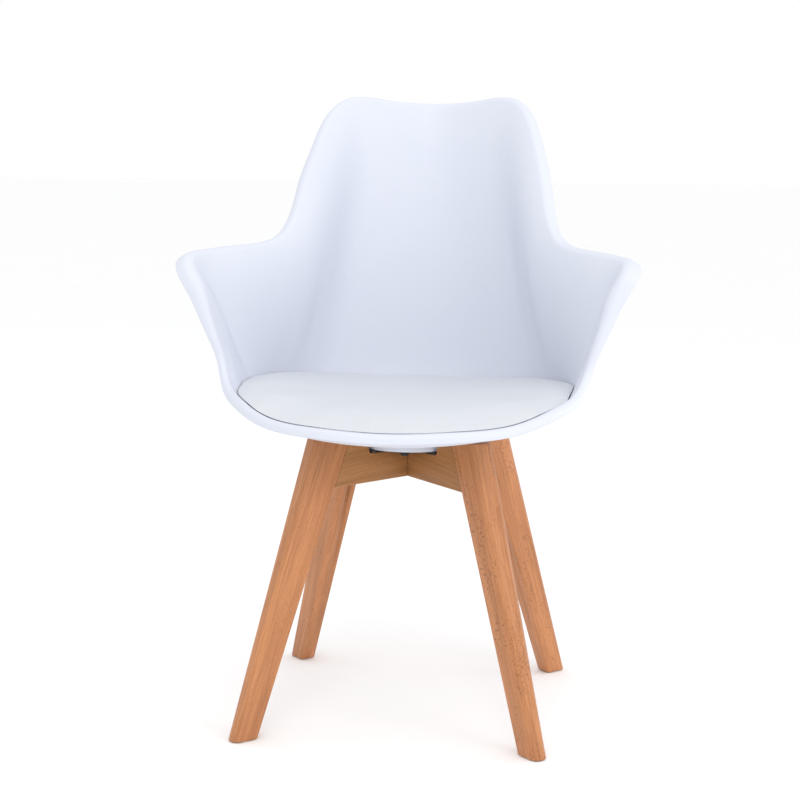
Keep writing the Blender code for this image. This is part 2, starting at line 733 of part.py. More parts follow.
def rail_outline(lap_on_top):
    """Side view of one rail as (distance along it, z), with its half of the centre lap."""
    end = [leg_inner_radius(z) - GAP for z in (RAIL_BOTTOM_Z, RAIL_TOP_Z)]
    fall = RAIL_BOTTOM_FALL * end[0]
    low_end = leg_inner_radius(RAIL_BOTTOM_Z - fall) - GAP
    lap = RAIL_WIDTH / 2 + GAP
    bottom = [(-low_end, RAIL_BOTTOM_Z - fall)]
    top = [
        (end[1], RAIL_TOP_Z),
        (RAIL_FLAT_HALF + RAIL_FLAT_RUN_OUT, RAIL_TOP_Z),
        (RAIL_FLAT_HALF, RAIL_FLAT_Z),
    ]
    if lap_on_top:
        bottom += [(0.0, RAIL_BOTTOM_Z)]
        cut = RAIL_LAP_Z - GAP / 2
        top += [(lap, RAIL_FLAT_Z), (lap, cut), (-lap, cut), (-lap, RAIL_FLAT_Z)]
    else:
        cut = RAIL_LAP_Z + GAP / 2
        edge = RAIL_BOTTOM_Z - RAIL_BOTTOM_FALL * lap
        bottom += [(-lap, edge), (-lap, cut), (lap, cut), (lap, edge)]
    bottom += [(low_end, RAIL_BOTTOM_Z - fall)]
    top += [
        (-RAIL_FLAT_HALF, RAIL_FLAT_Z),
        (-RAIL_FLAT_HALF - RAIL_FLAT_RUN_OUT, RAIL_TOP_Z),
        (-end[1], RAIL_TOP_Z),
    ]
    return bottom + top


def cross_rail(name, side_x, side_y, lap_on_top, material):
    frame = radial_frame(side_x, side_y)
    outline = rail_outline(lap_on_top)
    rings = [
        [frame @ Vector((x, y, z)) for x, z in outline]
        for y in (-RAIL_WIDTH / 2, RAIL_WIDTH / 2)
    ]
    rail = make_object(name, *ring_stack(rings), material)
    bevel = rail.modifiers.new("eased_edges", "BEVEL")
    bevel.width = RAIL_EASE
    bevel.segments = 1
    bevel.limit_method = "ANGLE"
    bevel.angle_limit = math.radians(40)
    for turn, label in ((1, "out"), (-1, "back")):
        half = radial_frame(side_x * turn, side_y * turn)
        for i, z in enumerate(DOWEL_HEIGHTS, start=1):
            boolean(rail, dowel_hole(f"{name}_{label}_{i}", z, half, -1.0), "DIFFERENCE")
        spot = (half @ Vector((PLATE_SCREW_CIRCLE, 0, 0))).xy
        radius = PLATE_SCREW_RADIUS + HOLE_CLEARANCE
        low, high = RAIL_FLAT_Z - PLATE_SCREW_LENGTH - GAP, RAIL_TOP_Z + OVERRUN
        drill(rail, f"pilot_{name}_{label}", radius, low, high, spot)


# --- Plate, bolts, screws and glides ---------------------------------------------------------


def plate_outline(z, corner_steps=3, hub_steps=4):
    """A round hub with four arms that lie along the rails."""
    turn_in = math.asin(PLATE_ARM_HALF_WIDTH / PLATE_HUB_RADIUS)
    root = PLATE_HUB_RADIUS * math.cos(turn_in)
    half, corner = PLATE_ARM_HALF_WIDTH, PLATE_CORNER
    arm = [(root, -half)]
    arm += corner_arc((PLATE_ARM_REACH - corner, corner - half), corner, -math.pi / 2, corner_steps)
    arm += corner_arc((PLATE_ARM_REACH - corner, half - corner), corner, 0, corner_steps)
    arm += [(root, half)]
    for i in range(1, hub_steps):
        angle = turn_in + (math.pi / 2 - 2 * turn_in) * i / hub_steps
        arm.append((PLATE_HUB_RADIUS * math.cos(angle), PLATE_HUB_RADIUS * math.sin(angle)))
    points = []
    for quarter in range(4):
        turn = Matrix.Rotation(math.pi / 4 + quarter * math.pi / 2, 2)
        points += [(*(turn @ Vector(point)), z) for point in arm]
    return points


def plate_bottom():
    return RAIL_FLAT_Z + GAP


def plate_top():
    return plate_bottom() + PLATE_THICKNESS


def plate_screw_spots():
    reach = PLATE_SCREW_CIRCLE / math.sqrt(2)
    return [(x * reach, y * reach) for _, x, y in CORNERS]


def mounting_plate(material):
    levels = (plate_bottom(), plate_top())
    rings = [plate_outline(z) for z in levels]
    plate = make_object("mounting_plate", *ring_stack(rings), material, 35)
    holes = [(spot, BOLT_RADIUS + HOLE_CLEARANCE) for spot in bolt_spots()]
    holes += [(spot, PLATE_SCREW_RADIUS + HOLE_CLEARANCE) for spot in plate_screw_spots()]
    for i, (spot, radius) in enumerate(holes, start=1):
        low, high = levels[0] - OVERRUN, levels[1] + OVERRUN
        drill(plate, f"plate_hole_{i}", radius, low, high, spot)


def shell_fasteners(steel, insert_metal):
    """Bolt, washer and threaded insert at each post."""
    washer_top = plate_bottom() - GAP
    washer_low = washer_top - WASHER_THICKNESS
    seat = washer_low - GAP
    bore = BOLT_RADIUS + HOLE_CLEARANCE
    insert = INSERT_HOLE_RADIUS - GAP
    for i, spot in enumerate(bolt_spots(), start=1):
        tube(f"bolt_washer_{i}", WASHER_RADIUS, bore, washer_low, washer_top, steel, spot)
        profile = (
            (BOLT_HEAD_RADIUS * 0.55, seat - BOLT_HEAD_HEIGHT),
            (BOLT_HEAD_RADIUS * 0.92, seat - BOLT_HEAD_HEIGHT * 0.7),
            (BOLT_HEAD_RADIUS, seat - BOLT_HEAD_HEIGHT * 0.35),
            (BOLT_HEAD_RADIUS, seat),
            (BOLT_RADIUS, seat),
            (BOLT_RADIUS, BOLT_TOP_Z),
        )
        turned(f"shell_bolt_{i}", profile, steel, spot)
        name = f"shell_insert_{i}"
        tube(name, insert, bore, INSERT_BOTTOM_Z, INSERT_TOP_Z, insert_metal, spot)


def plate_screws(material):
    seat = plate_top() + GAP
    for i, spot in enumerate(plate_screw_spots(), start=1):
        profile = (
            (PLATE_SCREW_RADIUS * 0.4, seat - PLATE_SCREW_LENGTH),
            (PLATE_SCREW_RADIUS, seat - PLATE_SCREW_LENGTH * 0.85),
            (PLATE_SCREW_RADIUS, seat),
            (PLATE_SCREW_HEAD_RADIUS, seat),
            (PLATE_SCREW_HEAD_RADIUS, seat + SCREW_HEAD_HEIGHT * 0.5),
            (PLATE_SCREW_HEAD_RADIUS * 0.6, seat + SCREW_HEAD_HEIGHT),
        )
        turned(f"plate_screw_{i}", profile, material, spot)


def foot_glides(material):
    for side, side_x, side_y in CORNERS:
        profile = (
            (GLIDE_RADIUS - GLIDE_EASE, 0.0),
            (GLIDE_RADIUS, GLIDE_EASE),
            (GLIDE_RADIUS, GLIDE_THICKNESS),
        )
        spot = foot_centre(side_x, side_y)
        turned(f"foot_glide_{side}", profile, material, spot, GLIDE_SIDES)


# --- The chair -------------------------------------------------------------------------------


def main():
    for obj in list(bpy.data.objects):
        bpy.data.objects.remove(obj, do_unlink=True)
    wood = beech()
    dowel_wood = dowel_beech()
    steel = zinc()
    black = black_steel()
    seat_shell(shell_plastic())
    angle, edge = pad_columns(PAD_AROUND)
    pad_cover(pad_leather(), angle, edge)
    pad_foam(foam(), angle, edge)
    pad_board(board(), angle)
    pad_screws(steel)
    for side, side_x, side_y in CORNERS:
        leg(side, side_x, side_y, wood)
    cross_rail("cross_rail_a", 1, 1, True, wood)
    cross_rail("cross_rail_b", 1, -1, False, wood)
    dowels(dowel_wood)
    mounting_plate(black)
    shell_fasteners(black, brass())
    plate_screws(steel)
    foot_glides(nylon())


main()
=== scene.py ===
"""Looks for the dining armchair: moulded shell, upholstered seat pad and lacquered beech base.

Metres, +Z up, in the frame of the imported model. The chair faces -Y.
"""

import math

import bmesh
import bpy
import numpy as np
from mathutils import Matrix, Vector


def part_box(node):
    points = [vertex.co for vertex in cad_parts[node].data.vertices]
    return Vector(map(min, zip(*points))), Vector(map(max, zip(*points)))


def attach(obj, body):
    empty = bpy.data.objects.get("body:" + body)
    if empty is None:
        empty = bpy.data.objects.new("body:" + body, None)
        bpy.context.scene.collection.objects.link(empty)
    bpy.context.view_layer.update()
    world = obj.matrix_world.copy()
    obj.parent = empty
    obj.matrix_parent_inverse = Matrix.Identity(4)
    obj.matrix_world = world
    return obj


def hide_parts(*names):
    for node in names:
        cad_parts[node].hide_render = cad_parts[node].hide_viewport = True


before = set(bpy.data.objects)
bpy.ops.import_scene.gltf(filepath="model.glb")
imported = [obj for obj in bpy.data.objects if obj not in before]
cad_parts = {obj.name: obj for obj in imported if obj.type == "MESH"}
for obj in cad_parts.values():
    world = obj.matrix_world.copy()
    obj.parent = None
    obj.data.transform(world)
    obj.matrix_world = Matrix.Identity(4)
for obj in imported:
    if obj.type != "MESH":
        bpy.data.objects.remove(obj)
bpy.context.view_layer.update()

MM = 0.001
GAP = 0.0003

# Shell: seat pan
PAN_CENTRE_Y = -0.020
PAN_HALF_WIDTH = 0.212
PAN_FRONT = 0.187
PAN_BACK = 0.180
PAN_LOW_Z = 0.3955
PAN_DISH_POWER = 2.4
PAN_CORNER_POWER = 2.2
PAN_BACK_CORNER_GAIN = 0.25
PAN_EDGE_Z = 0.4135
PAN_EDGE_FRONT_DROP = 0.0105
PAN_EDGE_SIDE_RISE = 0.0195
PAN_SLOPE_FRACTION = 0.98
SHELL_THICKNESS = 0.0042

# Shell: how finely it is drawn
SHELL_AROUND = 360
PAN_RINGS = 18
WALL_RINGS = 44
ROLL_RINGS = 12
FLAT_RINGS = 3
NOSE_STEPS = 6

# Shell: one row per station, from the middle of the front lip round the right side to the middle of
# the back's top. Each row holds, in mm and degrees: where the rolled rim starts (x, y, z), the way
# the sheet runs there (x, y, z), the pan angle that the wall rises from, how far it leaves the pan
# flat, how far it follows its end direction, and the rim's roll: radius, sweep, flat end.
STATIONS = (
    ("front", (0, -224, 415), (0, -35, 94), 0, 6, 4, 7, 160, 4),
    ("front_quarter", (83, -213, 418), (10, -35, 93), 24, 6, 4, 7, 160, 4),
    ("front_corner", (154, -179, 424), (28, -30, 92), 43, 7, 5, 7, 155, 4),
    ("corner_side", (203, -132, 442), (45, -32, 86), 59, 8, 7, 7, 145, 4),
    ("notch", (232, -89, 464), (45, -60, 70), 70, 10, 10, 6, 130, 3),
    ("arm_root", (240, -77, 487), (28, -90, 25), 77, 12, 20, 6, 110, 2),
    ("arm_front_low", (248, -77, 515), (20, -97, 5), 82, 14, 32, 7, 100, 3),
    ("arm_front_mid", (258, -78, 548), (20, -97, 5), 86, 16, 40, 9, 98, 5),
    ("arm_front_high", (269, -78, 588), (24, -95, 18), 90, 18, 46, 12, 98, 8),
    ("arm_tip", (284, -70, 619), (42, -64, 64), 94, 20, 50, 12, 100, 9),
    ("arm_top_front", (273, -38, 626), (48, -10, 87), 98, 22, 60, 12, 105, 9),
    ("arm_top_mid", (245, -4, 629), (42, 0, 90), 105, 24, 70, 12, 105, 8),
    ("arm_top_back", (215, 30, 632), (35, 0, 93), 113, 26, 80, 11, 100, 6),
    ("junction", (190, 60, 644), (45, -8, 88), 121, 28, 80, 10, 95, 4),
    ("back_side_low", (173, 84, 681), (85, -40, 34), 128, 30, 80, 10, 95, 4),
    ("back_side_mid", (164, 106, 728), (90, -40, 18), 136, 34, 85, 11, 95, 4),
    ("back_side_high", (150, 136, 782), (88, -38, 26), 144, 38, 85, 10, 95, 4),
    ("back_shoulder", (136, 158, 819), (72, -22, 66), 151, 42, 95, 9, 95, 3),
    ("top_corner", (114, 181, 839), (38, 2, 92), 158, 46, 120, 8, 95, 3),
    ("top_quarter", (62, 209, 837), (8, 14, 98), 168, 50, 165, 7, 95, 3),
    ("top_middle", (0, 224, 833), (0, 18, 98), 180, 50, 175, 7, 95, 3),
)

# Seat pad
PAD_SIDE_GAP = 0.0008
PAD_ROLL_SHARE = 0.32  # how far up the rim's roll the pad may reach
PAD_AROUND = 176
PAD_FRONT_Z = 0.4195
PAD_SIDE_Z = 0.4540
PAD_BACK_Z = 0.4380
PAD_MIDDLE_Z = 0.4360
PAD_EDGE_RISE = 0.0085
PAD_EDGE_LIFT = 0.0008
PAD_SKIN = 0.0012
PAD_UNDER_GAP = 2 * GAP
PAD_BOARD_THICKNESS = 0.0050
PAD_SIDE_FRACTION = 0.98
PAD_TURN_IN_FRACTION = 0.88
PAD_TOP_RINGS = 18
PAD_BOTTOM_FRACTIONS = (0.88, 0.65, 0.35)
PAD_GRID_FRACTION = 0.45  # inside this, a square grid of faces takes over from the rings
PAD_FREE_FACING = 0.25  # cover that faces up at least this much is free to swell
PAD_FREE_HEIGHT = 0.0088  # and stands at least this far over the pan
ROLL_STEPS = 6
ANGLE_SAMPLES = 1601
WALL_SAMPLES = 81
WALL_SAMPLE_POWER = 1.5

# Seat pad: the cover as cloth under pressure. Most of it reaches the cap, so the cap sets its height.
PAD_SWELL_CAP = 0.0030
CLOTH_FRAMES = 20
CLOTH_QUALITY = 6
CLOTH_MASS = 0.15
CLOTH_TENSION = 20.0
CLOTH_COMPRESSION = 18.0
CLOTH_BENDING = 1.5
CLOTH_PRESSURE = 4.0

# Boss and posts
BOSS_RADIUS = 0.071
BOSS_WALL = 0.004
BOSS_BOTTOM_Z = 0.3690
BOSS_EDGE = 0.0015
BOSS_FILLET = 0.0040
BOSS_SIDES = 120
POST_RADIUS = 0.0095
POST_CIRCLE = 0.046
POST_EASE = 0.0006
POST_SIDES = 40
INSERT_HOLE_RADIUS = 0.0056
EDGE_STEPS = 4

# Legs
LEG_OUTER_RADIUS = 0.2890
LEG_OUTER_LEAN = 0.324
LEG_INNER_RADIUS = 0.2543
LEG_INNER_LEAN = 0.369
LEG_HALF_WIDTH = 0.0117
LEG_HALF_WIDTH_GROWTH = 0.0102
LEG_OUTER_CORNER = 0.0100
LEG_INNER_CORNER = 0.0015
LEG_EASE = 0.0012
DOWEL_RADIUS = 0.0040
DOWEL_LENGTH = 0.0320
DOWEL_HEIGHTS = (0.3360, 0.3690)
DOWEL_END_ROOM = 0.0006
LEG_OUTER_STEPS = 12
LEG_INNER_STEPS = 4
LEG_EASE_STEPS = 5
CUTTER_SIDES = 24
RECESS_SIDES = 48
HOLE_OVERRUN = 0.002
RECESS_OVERRUN = 0.01

# Wood: light and dark tones, then each leg's place in the board, share of ray flecks, and tone, which
# is partly the wood's own and partly painted light and shade
LEG_LIGHT = (0.625, 0.268, 0.110)
LEG_DARK = (0.335, 0.128, 0.046)
# The rails' colours are darker than the legs' partly from their own wood and partly from painted shade
# of the shell over them
RAIL_LIGHT_SHADED = (0.440, 0.205, 0.074)
RAIL_DARK_SHADED = (0.270, 0.114, 0.036)
RAY_DEPTH = 0.62
LEG_BOARDS_AND_PAINTED_LIGHT = {
    # Painted light and shade in the last number: the rear right leg is drawn lighter and the rear left
    # darker, as light falls on them
    "front_right": ((0.021, 0.034, 0.10), 0.60, 0.97),
    "rear_right": ((-0.034, 0.012, 0.75), 0.42, 1.04),
    "rear_left": ((0.027, -0.031, 1.30), 0.20, 0.92),
    "front_left": ((0.046, 0.010, 1.90), 0.14, 0.94),
}
RAILS = (("cross_rail_a", 1, 1, 0.10), ("cross_rail_b", 1, -1, -0.12))
RAIL_SHIFT = (0.04, 0.03, 2.4)
RAIL_RAYS = 0.16

# Hardware
TURNED_SIDES = 40
GLIDE_SIDES = 64
DOME_START = 0.35  # radians from a screw head's middle
BOLT_HEAD_HEIGHT = 0.0040
BOLT_RIM = 0.0012
BOLT_DOME = 0.0028
BOLT_DOME_STEPS = 8
BOLT_EDGE = 0.0002
BOLT_SHANK = 0.0030
BOLT_POINT = 0.0008
BOLT_RECESS = (0.0026, 0.0022)
BORE_RADIUS = 0.0034
WASHER_EASE = 0.0002
INSERT_LEAD = 0.0004
INSERT_GROOVE = 0.0005
INSERT_SHOULDER = 0.0003
PAD_SCREW_HEAD_HEIGHT = 0.0020
PAD_SCREW_RIM = 0.0004
PAD_SCREW_DOME = 0.0016
PAD_SCREW_DOME_STEPS = 7
PAD_SCREW_SHANK = 0.0017
PAD_SCREW_RECESS = (0.0019, 0.0013)
GLIDE_EASE = 0.0006
GLIDE_EASE_STEPS = 5
GLIDE_DIMPLE = (0.35, 0.0003)
GLIDE_SOLE = 0.38
RECESS_ARM = 0.22
RECESS_MOUTH = (0.001, 1.15)
RECESS_FLOOR_SCALE = 0.45

# Studio
CAMERA_PLACE = (0.32756, -2.27364, 0.75535)
CAMERA_YAW = 8.546
CAMERA_DOWN = 8.061
CAMERA_ROLL = 0.526
CAMERA_LENS = 76.03
CAMERA_SENSOR = 36.0
FLOOR_HALF = 60.0
FLOOR_DROP = 0.0002  # keeps the floor clear of the glides' soles
FLOOR_TINTS = ((0.975, 0.978, 0.980), (0.990, 0.992, 0.994))
# Each light: name, place, target, size, power and colour
LIGHTS = (
    ("front", (0.1, -2.5, 2.3), (0, 0, 0.50), (1.2, 1.0), 12.5, (1, 1, 1)),
    ("right", (2.3, -1.6, 1.3), (0, 0, 0.50), (1.4, 1.4), 12.0, (1.0, 0.985, 0.97)),
    ("low_side", (1.9, 0.7, 0.40), (0, 0, 0.20), (0.6, 0.4), 3.5, (1.0, 0.97, 0.94)),
    ("above", (0.3, -0.6, 2.8), (0, 0, 0.4), (2.0, 2.0), 7.0, (1, 1, 1)),
)

CORNERS = (
    ("front_right", 1, -1),
    ("rear_right", 1, 1),
    ("rear_left", -1, 1),
    ("front_left", -1, -1),
)


# --- Node helpers ----------------------------------------------------------------------------


class Surface:
    """A Principled material being built: each method adds a node and returns its output."""

    def __init__(self, name, roughness, metallic=0.0, **uniform):
        self.material = bpy.data.materials.new(name)
        self.material.use_nodes = True
        self.nodes = self.material.node_tree.nodes
        self.links = self.material.node_tree.links
        self.shader = self.nodes["Principled BSDF"]
        self.shader.inputs["Roughness"].default_value = roughness
        self.shader.inputs["Metallic"].default_value = metallic
        for socket, value in uniform.items():
            self.shader.inputs[socket.replace("_", " ")].default_value = value
        self.place = self.nodes.new("ShaderNodeTexCoord").outputs["Object"]

    def put(self, source, socket):
        if hasattr(source, "links"):
            self.links.new(source, socket)
        else:
            socket.default_value = source

    def mapped(self, vector, shift=(0, 0, 0), turn=(0, 0, 0), scale=(1, 1, 1)):
        node = self.nodes.new("ShaderNodeMapping")
        self.put(vector, node.inputs["Vector"])
        node.inputs["Location"].default_value = shift
        node.inputs["Rotation"].default_value = turn
        node.inputs["Scale"].default_value = scale
        return node.outputs["Vector"]

    def noise(self, vector, scale, detail=2.0, roughness=0.5, distortion=0.0):
        node = self.nodes.new("ShaderNodeTexNoise")
        self.put(vector, node.inputs["Vector"])
        node.inputs["Scale"].default_value = scale
        node.inputs["Detail"].default_value = detail
        node.inputs["Roughness"].default_value = roughness
        node.inputs["Distortion"].default_value = distortion
        return node.outputs["Fac"]

    def cells(self, vector, scale, feature="F1", randomness=1.0):
        node = self.nodes.new("ShaderNodeTexVoronoi")
        node.feature = feature
        self.put(vector, node.inputs["Vector"])
        node.inputs["Scale"].default_value = scale
        node.inputs["Randomness"].default_value = randomness
        return node.outputs["Distance"]

    def growth_rings(self, vector, scale, distortion, detail, detail_scale):
        node = self.nodes.new("ShaderNodeTexWave")
        node.wave_type = "RINGS"
        node.rings_direction = "Z"
        node.wave_profile = "SAW"
        self.put(vector, node.inputs["Vector"])
        node.inputs["Scale"].default_value = scale
        node.inputs["Distortion"].default_value = distortion
        node.inputs["Detail"].default_value = detail
        node.inputs["Detail Scale"].default_value = detail_scale
        return node.outputs["Fac"]

    def span(self, value, low, high, to_low=0.0, to_high=1.0):
        """The value's stretch from low to high, mapped to another and held at its ends."""
        node = self.nodes.new("ShaderNodeMapRange")
        node.clamp = True
        self.put(value, node.inputs["Value"])
        node.inputs["From Min"].default_value = low
        node.inputs["From Max"].default_value = high
        node.inputs["To Min"].default_value = to_low
        node.inputs["To Max"].default_value = to_high
        return node.outputs["Result"]

    def math(self, operation, first, second):
        node = self.nodes.new("ShaderNodeMath")
        node.operation = operation
        self.put(first, node.inputs[0])
        self.put(second, node.inputs[1])
        return node.outputs["Value"]

    def mix(self, amount, first, second, blend="MIX"):
        """Two colours mixed; each is a colour or another node's output."""
        node = self.nodes.new("ShaderNodeMix")
        node.data_type = "RGBA"
        node.blend_type = blend
        self.put(amount, node.inputs["Factor"])
        for source, socket in ((first, node.inputs[6]), (second, node.inputs[7])):
            if hasattr(source, "links"):
                self.links.new(source, socket)
            else:
                socket.default_value = (*source, 1.0)
        return node.outputs[2]

    def colour(self, source):
        self.links.new(source, self.shader.inputs["Base Color"])

    def roughness(self, source):
        self.links.new(source, self.shader.inputs["Roughness"])

    def bump(self, *layers):
        """Height layers, each (height, depth in metres), stacked into one normal."""
        normal = None
        for height, depth in layers:
            node = self.nodes.new("ShaderNodeBump")
            node.inputs["Strength"].default_value = 1.0
            node.inputs["Distance"].default_value = depth
            self.links.new(height, node.inputs["Height"])
            if normal is not None:
                self.links.new(normal, node.inputs["Normal"])
            normal = node.outputs["Normal"]
        self.links.new(normal, self.shader.inputs["Normal"])
        return self.material


# --- Materials -------------------------------------------------------------------------------


def shell_plastic():
    """Satin polypropylene: a fine moulded texture, faint flow clouding and a few soft scuffs."""
    surface = Surface("shell_plastic_fine", 0.42, IOR=1.49, Specular_IOR_Level=0.45)
    cloud = surface.span(surface.noise(surface.place, 5.0, 3.0, 0.55), 0.35, 0.65)
    flow = surface.noise(surface.mapped(surface.place, scale=(3, 3, 0.8)), 4.0, 2.0)
    tint = surface.mix(cloud, (0.648, 0.678, 0.765), (0.662, 0.690, 0.772))
    scuff = surface.span(surface.noise(surface.place, 38.0, 6.0, 0.75), 0.64, 0.74)
    surface.colour(surface.mix(surface.math("MULTIPLY", scuff, 0.12), tint, (0.60, 0.62, 0.68)))
    grain = surface.noise(surface.place, 1500.0, 3.0, 0.6)
    satin = surface.span(flow, 0.3, 0.7, 0.38, 0.46)
    surface.roughness(surface.math("ADD", satin, surface.math("MULTIPLY", scuff, 0.06)))
    return surface.bump((grain, 0.000025), (flow, 0.0002))


def pad_leather():
    """Coated leather: a fine pebble of cells, softer pores, painted shade in the creases between the
    pebbles, and broad stretch in its sheen.
    """
    surface = Surface("pad_leather_fine", 0.45, IOR=1.47, Specular_IOR_Level=0.42)
    pebble = surface.cells(surface.place, 820.0, "SMOOTH_F1")
    creases = surface.cells(surface.place, 820.0, "DISTANCE_TO_EDGE")
    stretch = surface.noise(surface.place, 9.0, 3.0, 0.5)
    soft = surface.span(stretch, 0.35, 0.65)
    tint = surface.mix(soft, (0.640, 0.668, 0.705), (0.652, 0.678, 0.713))
    # Painted shade: the creases between the pebbles are drawn darker
    painted_crease_shade = surface.span(creases, 0.0, 0.10, 0.30, 0.0)
    surface.colour(surface.mix(painted_crease_shade, tint, (0.57, 0.59, 0.62)))
    surface.roughness(surface.span(stretch, 0.3, 0.7, 0.42, 0.50))
    return surface.bump((surface.span(creases, 0.0, 0.18), 0.00003), (pebble, 0.00002))


def beech(name, turn, shift, ray_share, light, dark):
    """Lacquered beech whose grain runs along local Z once its coordinates are turned.

    Growth rings round a far-off pith, long streaks, fine pores, and the short dark flecks of its rays.
    """
    lacquer = {"IOR": 1.48, "Specular_IOR_Level": 0.38, "Coat_Weight": 0.10, "Coat_Roughness": 0.25}
    surface = Surface(name, 0.36, **lacquer)
    grain = surface.mapped(surface.mapped(surface.place, turn=turn), shift=shift)
    along = surface.mapped(grain, scale=(1, 1, 0.035))
    drift = surface.noise(surface.mapped(grain, scale=(1, 1, 0.18)), 24.0, 3.0, 0.6)
    leaning = surface.mapped(grain, turn=(0.055, 0.035, 0), scale=(1, 1, 0.5))
    rings = surface.growth_rings(leaning, 74.0, 11.0, 3.0, 0.30)
    streaks = surface.span(surface.noise(along, 330.0, 5.0, 0.7), 0.34, 0.66)
    bands = surface.span(surface.noise(along, 105.0, 3.0, 0.6), 0.36, 0.64)
    tone = surface.math("MULTIPLY", surface.span(drift, 0.3, 0.7), 0.34)
    tone = surface.math("ADD", tone, surface.math("MULTIPLY", rings, 0.16))
    tone = surface.math("ADD", tone, surface.math("MULTIPLY", streaks, 0.36))
    tone = surface.math("ADD", tone, surface.math("MULTIPLY", bands, 0.22))
    body = surface.mix(surface.span(tone, 0.20, 0.90), light, dark)
    pores = surface.noise(surface.mapped(grain, scale=(1, 1, 0.16)), 1150.0, 2.0, 0.6)
    body = surface.mix(surface.span(pores, 0.56, 0.70, 0.0, 0.38), body, dark)
    wobble = surface.noise(grain, 150.0, 2.0)
    rays = surface.cells(surface.mapped(grain, scale=(0.35, 1.0, 0.42)), 520.0)
    patches = surface.noise(surface.mapped(grain, scale=(1, 1, 0.5)), 36.0, 2.0)
    patches = surface.span(patches, 0.44, 0.56)
    ray_size = surface.span(wobble, 0.35, 0.65, 0.20, 0.40)
    flecks = surface.math("LESS_THAN", rays, ray_size)
    flecks = surface.math("MULTIPLY", flecks, patches)
    deep = tuple(channel * RAY_DEPTH for channel in dark)
    surface.colour(surface.mix(surface.math("MULTIPLY", flecks, ray_share), body, deep))
    surface.roughness(surface.span(streaks, 0.0, 1.0, 0.34, 0.46))
    return surface.bump((pores, 0.00004), (streaks, 0.00003))


def raw_beech():
    """Dowel stock: unlacquered, paler and rougher."""
    surface = Surface("dowel_beech_fine", 0.62)
    streaks = surface.noise(surface.mapped(surface.place, scale=(1, 1, 1.6)), 420.0, 4.0, 0.6)
    surface.colour(surface.mix(streaks, (0.66, 0.46, 0.28), (0.52, 0.33, 0.18)))
    surface.roughness(surface.span(streaks, 0.3, 0.7, 0.55, 0.70))
    return surface.bump((streaks, 0.00004))


def black_powder_coat():
    """Black powder coat: orange-peel skin with small dull specks."""
    surface = Surface("black_powder_coat", 0.42, IOR=1.5)
    peel = surface.noise(surface.place, 520.0, 2.0, 0.5)
    specks = surface.span(surface.noise(surface.place, 1700.0, 2.0), 0.60, 0.72)
    surface.colour(surface.mix(specks, (0.012, 0.012, 0.014), (0.035, 0.035, 0.038)))
    surface.roughness(surface.span(peel, 0.3, 0.7, 0.36, 0.52))
    return surface.bump((peel, 0.00006))


def zinc_plate():
    """Bright zinc: faint yellow-blue passivation clouds, turning lines and handling marks."""
    surface = Surface("zinc_plate", 0.30, metallic=1.0)
    cloud = surface.noise(surface.place, 160.0, 3.0, 0.6)
    lines = surface.noise(surface.mapped(surface.place, scale=(1, 1, 12)), 600.0, 2.0)
    clouds = surface.span(cloud, 0.35, 0.65)
    surface.colour(surface.mix(clouds, (0.58, 0.59, 0.60), (0.66, 0.64, 0.56)))
    surface.roughness(surface.span(cloud, 0.3, 0.7, 0.24, 0.42))
    return surface.bump((lines, 0.00001))


def turned_brass():
    surface = Surface("turned_brass", 0.30, metallic=1.0)
    tarnish = surface.noise(surface.place, 240.0, 3.0, 0.6)
    lines = surface.noise(surface.mapped(surface.place, scale=(1, 1, 14)), 500.0, 2.0)
    dull = surface.span(tarnish, 0.35, 0.7)
    surface.colour(surface.mix(dull, (0.74, 0.54, 0.24), (0.50, 0.34, 0.14)))
    surface.roughness(surface.span(tarnish, 0.3, 0.7, 0.24, 0.40))
    return surface.bump((lines, 0.00001))


def nylon():
    """Natural nylon glide: milky, with a scratched sole."""
    surface = Surface("nylon_glide", 0.50, Subsurface_Weight=0.08, Subsurface_Scale=0.002)
    cloud = surface.noise(surface.place, 220.0, 3.0, 0.5)
    scratches = surface.noise(surface.mapped(surface.place, scale=(1, 9, 1)), 420.0, 4.0, 0.7)
    surface.colour(surface.mix(cloud, (0.78, 0.76, 0.70), (0.70, 0.68, 0.62)))
    surface.roughness(surface.span(scratches, 0.3, 0.7, 0.42, 0.64))
    return surface.bump((scratches, 0.00004))


def moulded_board():
    """Dark pressed board: fibrous mottling."""
    surface = Surface("moulded_board", 0.70)
    fibres = surface.noise(surface.place, 320.0, 6.0, 0.7, 0.6)
    surface.colour(surface.mix(fibres, (0.06, 0.05, 0.045), (0.14, 0.12, 0.10)))
    surface.roughness(surface.span(fibres, 0.3, 0.7, 0.62, 0.80))
    return surface.bump((fibres, 0.0001))


# --- Mesh helpers ----------------------------------------------------------------------------


def unit(rows):
    return rows / np.linalg.norm(rows, axis=-1, keepdims=True)


def ring_stack(rings, pole_start=None, pole_end=None):
    """Vertices and faces of closed rings of equal count, joined in turn and closed at both ends."""
    count = len(rings[0])
    vertices = [tuple(map(float, point)) for ring in rings for point in ring]
    faces = []
    for level in range(len(rings) - 1):
        low, high = level * count, (level + 1) * count
        for i in range(count):
            j = (i + 1) % count
            faces.append((low + i, low + j, high + j, high + i))
    last = (len(rings) - 1) * count
    for pole, start in ((pole_start, 0), (pole_end, last)):
        if pole is None:
            faces.append(tuple(range(start, start + count)))
            continue
        vertices.append(pole)
        tip = len(vertices) - 1
        faces += [(start + i, start + (i + 1) % count, tip) for i in range(count)]
    return vertices, faces


def torus_stack(rings):
    """Vertices and faces of closed rings joined in turn, the last to the first."""
    vertices, faces = ring_stack(rings)
    faces = faces[:-2]
    count = len(rings[0])
    last = (len(rings) - 1) * count
    faces += [(last + i, last + (i + 1) % count, (i + 1) % count, i) for i in range(count)]
    return vertices, faces


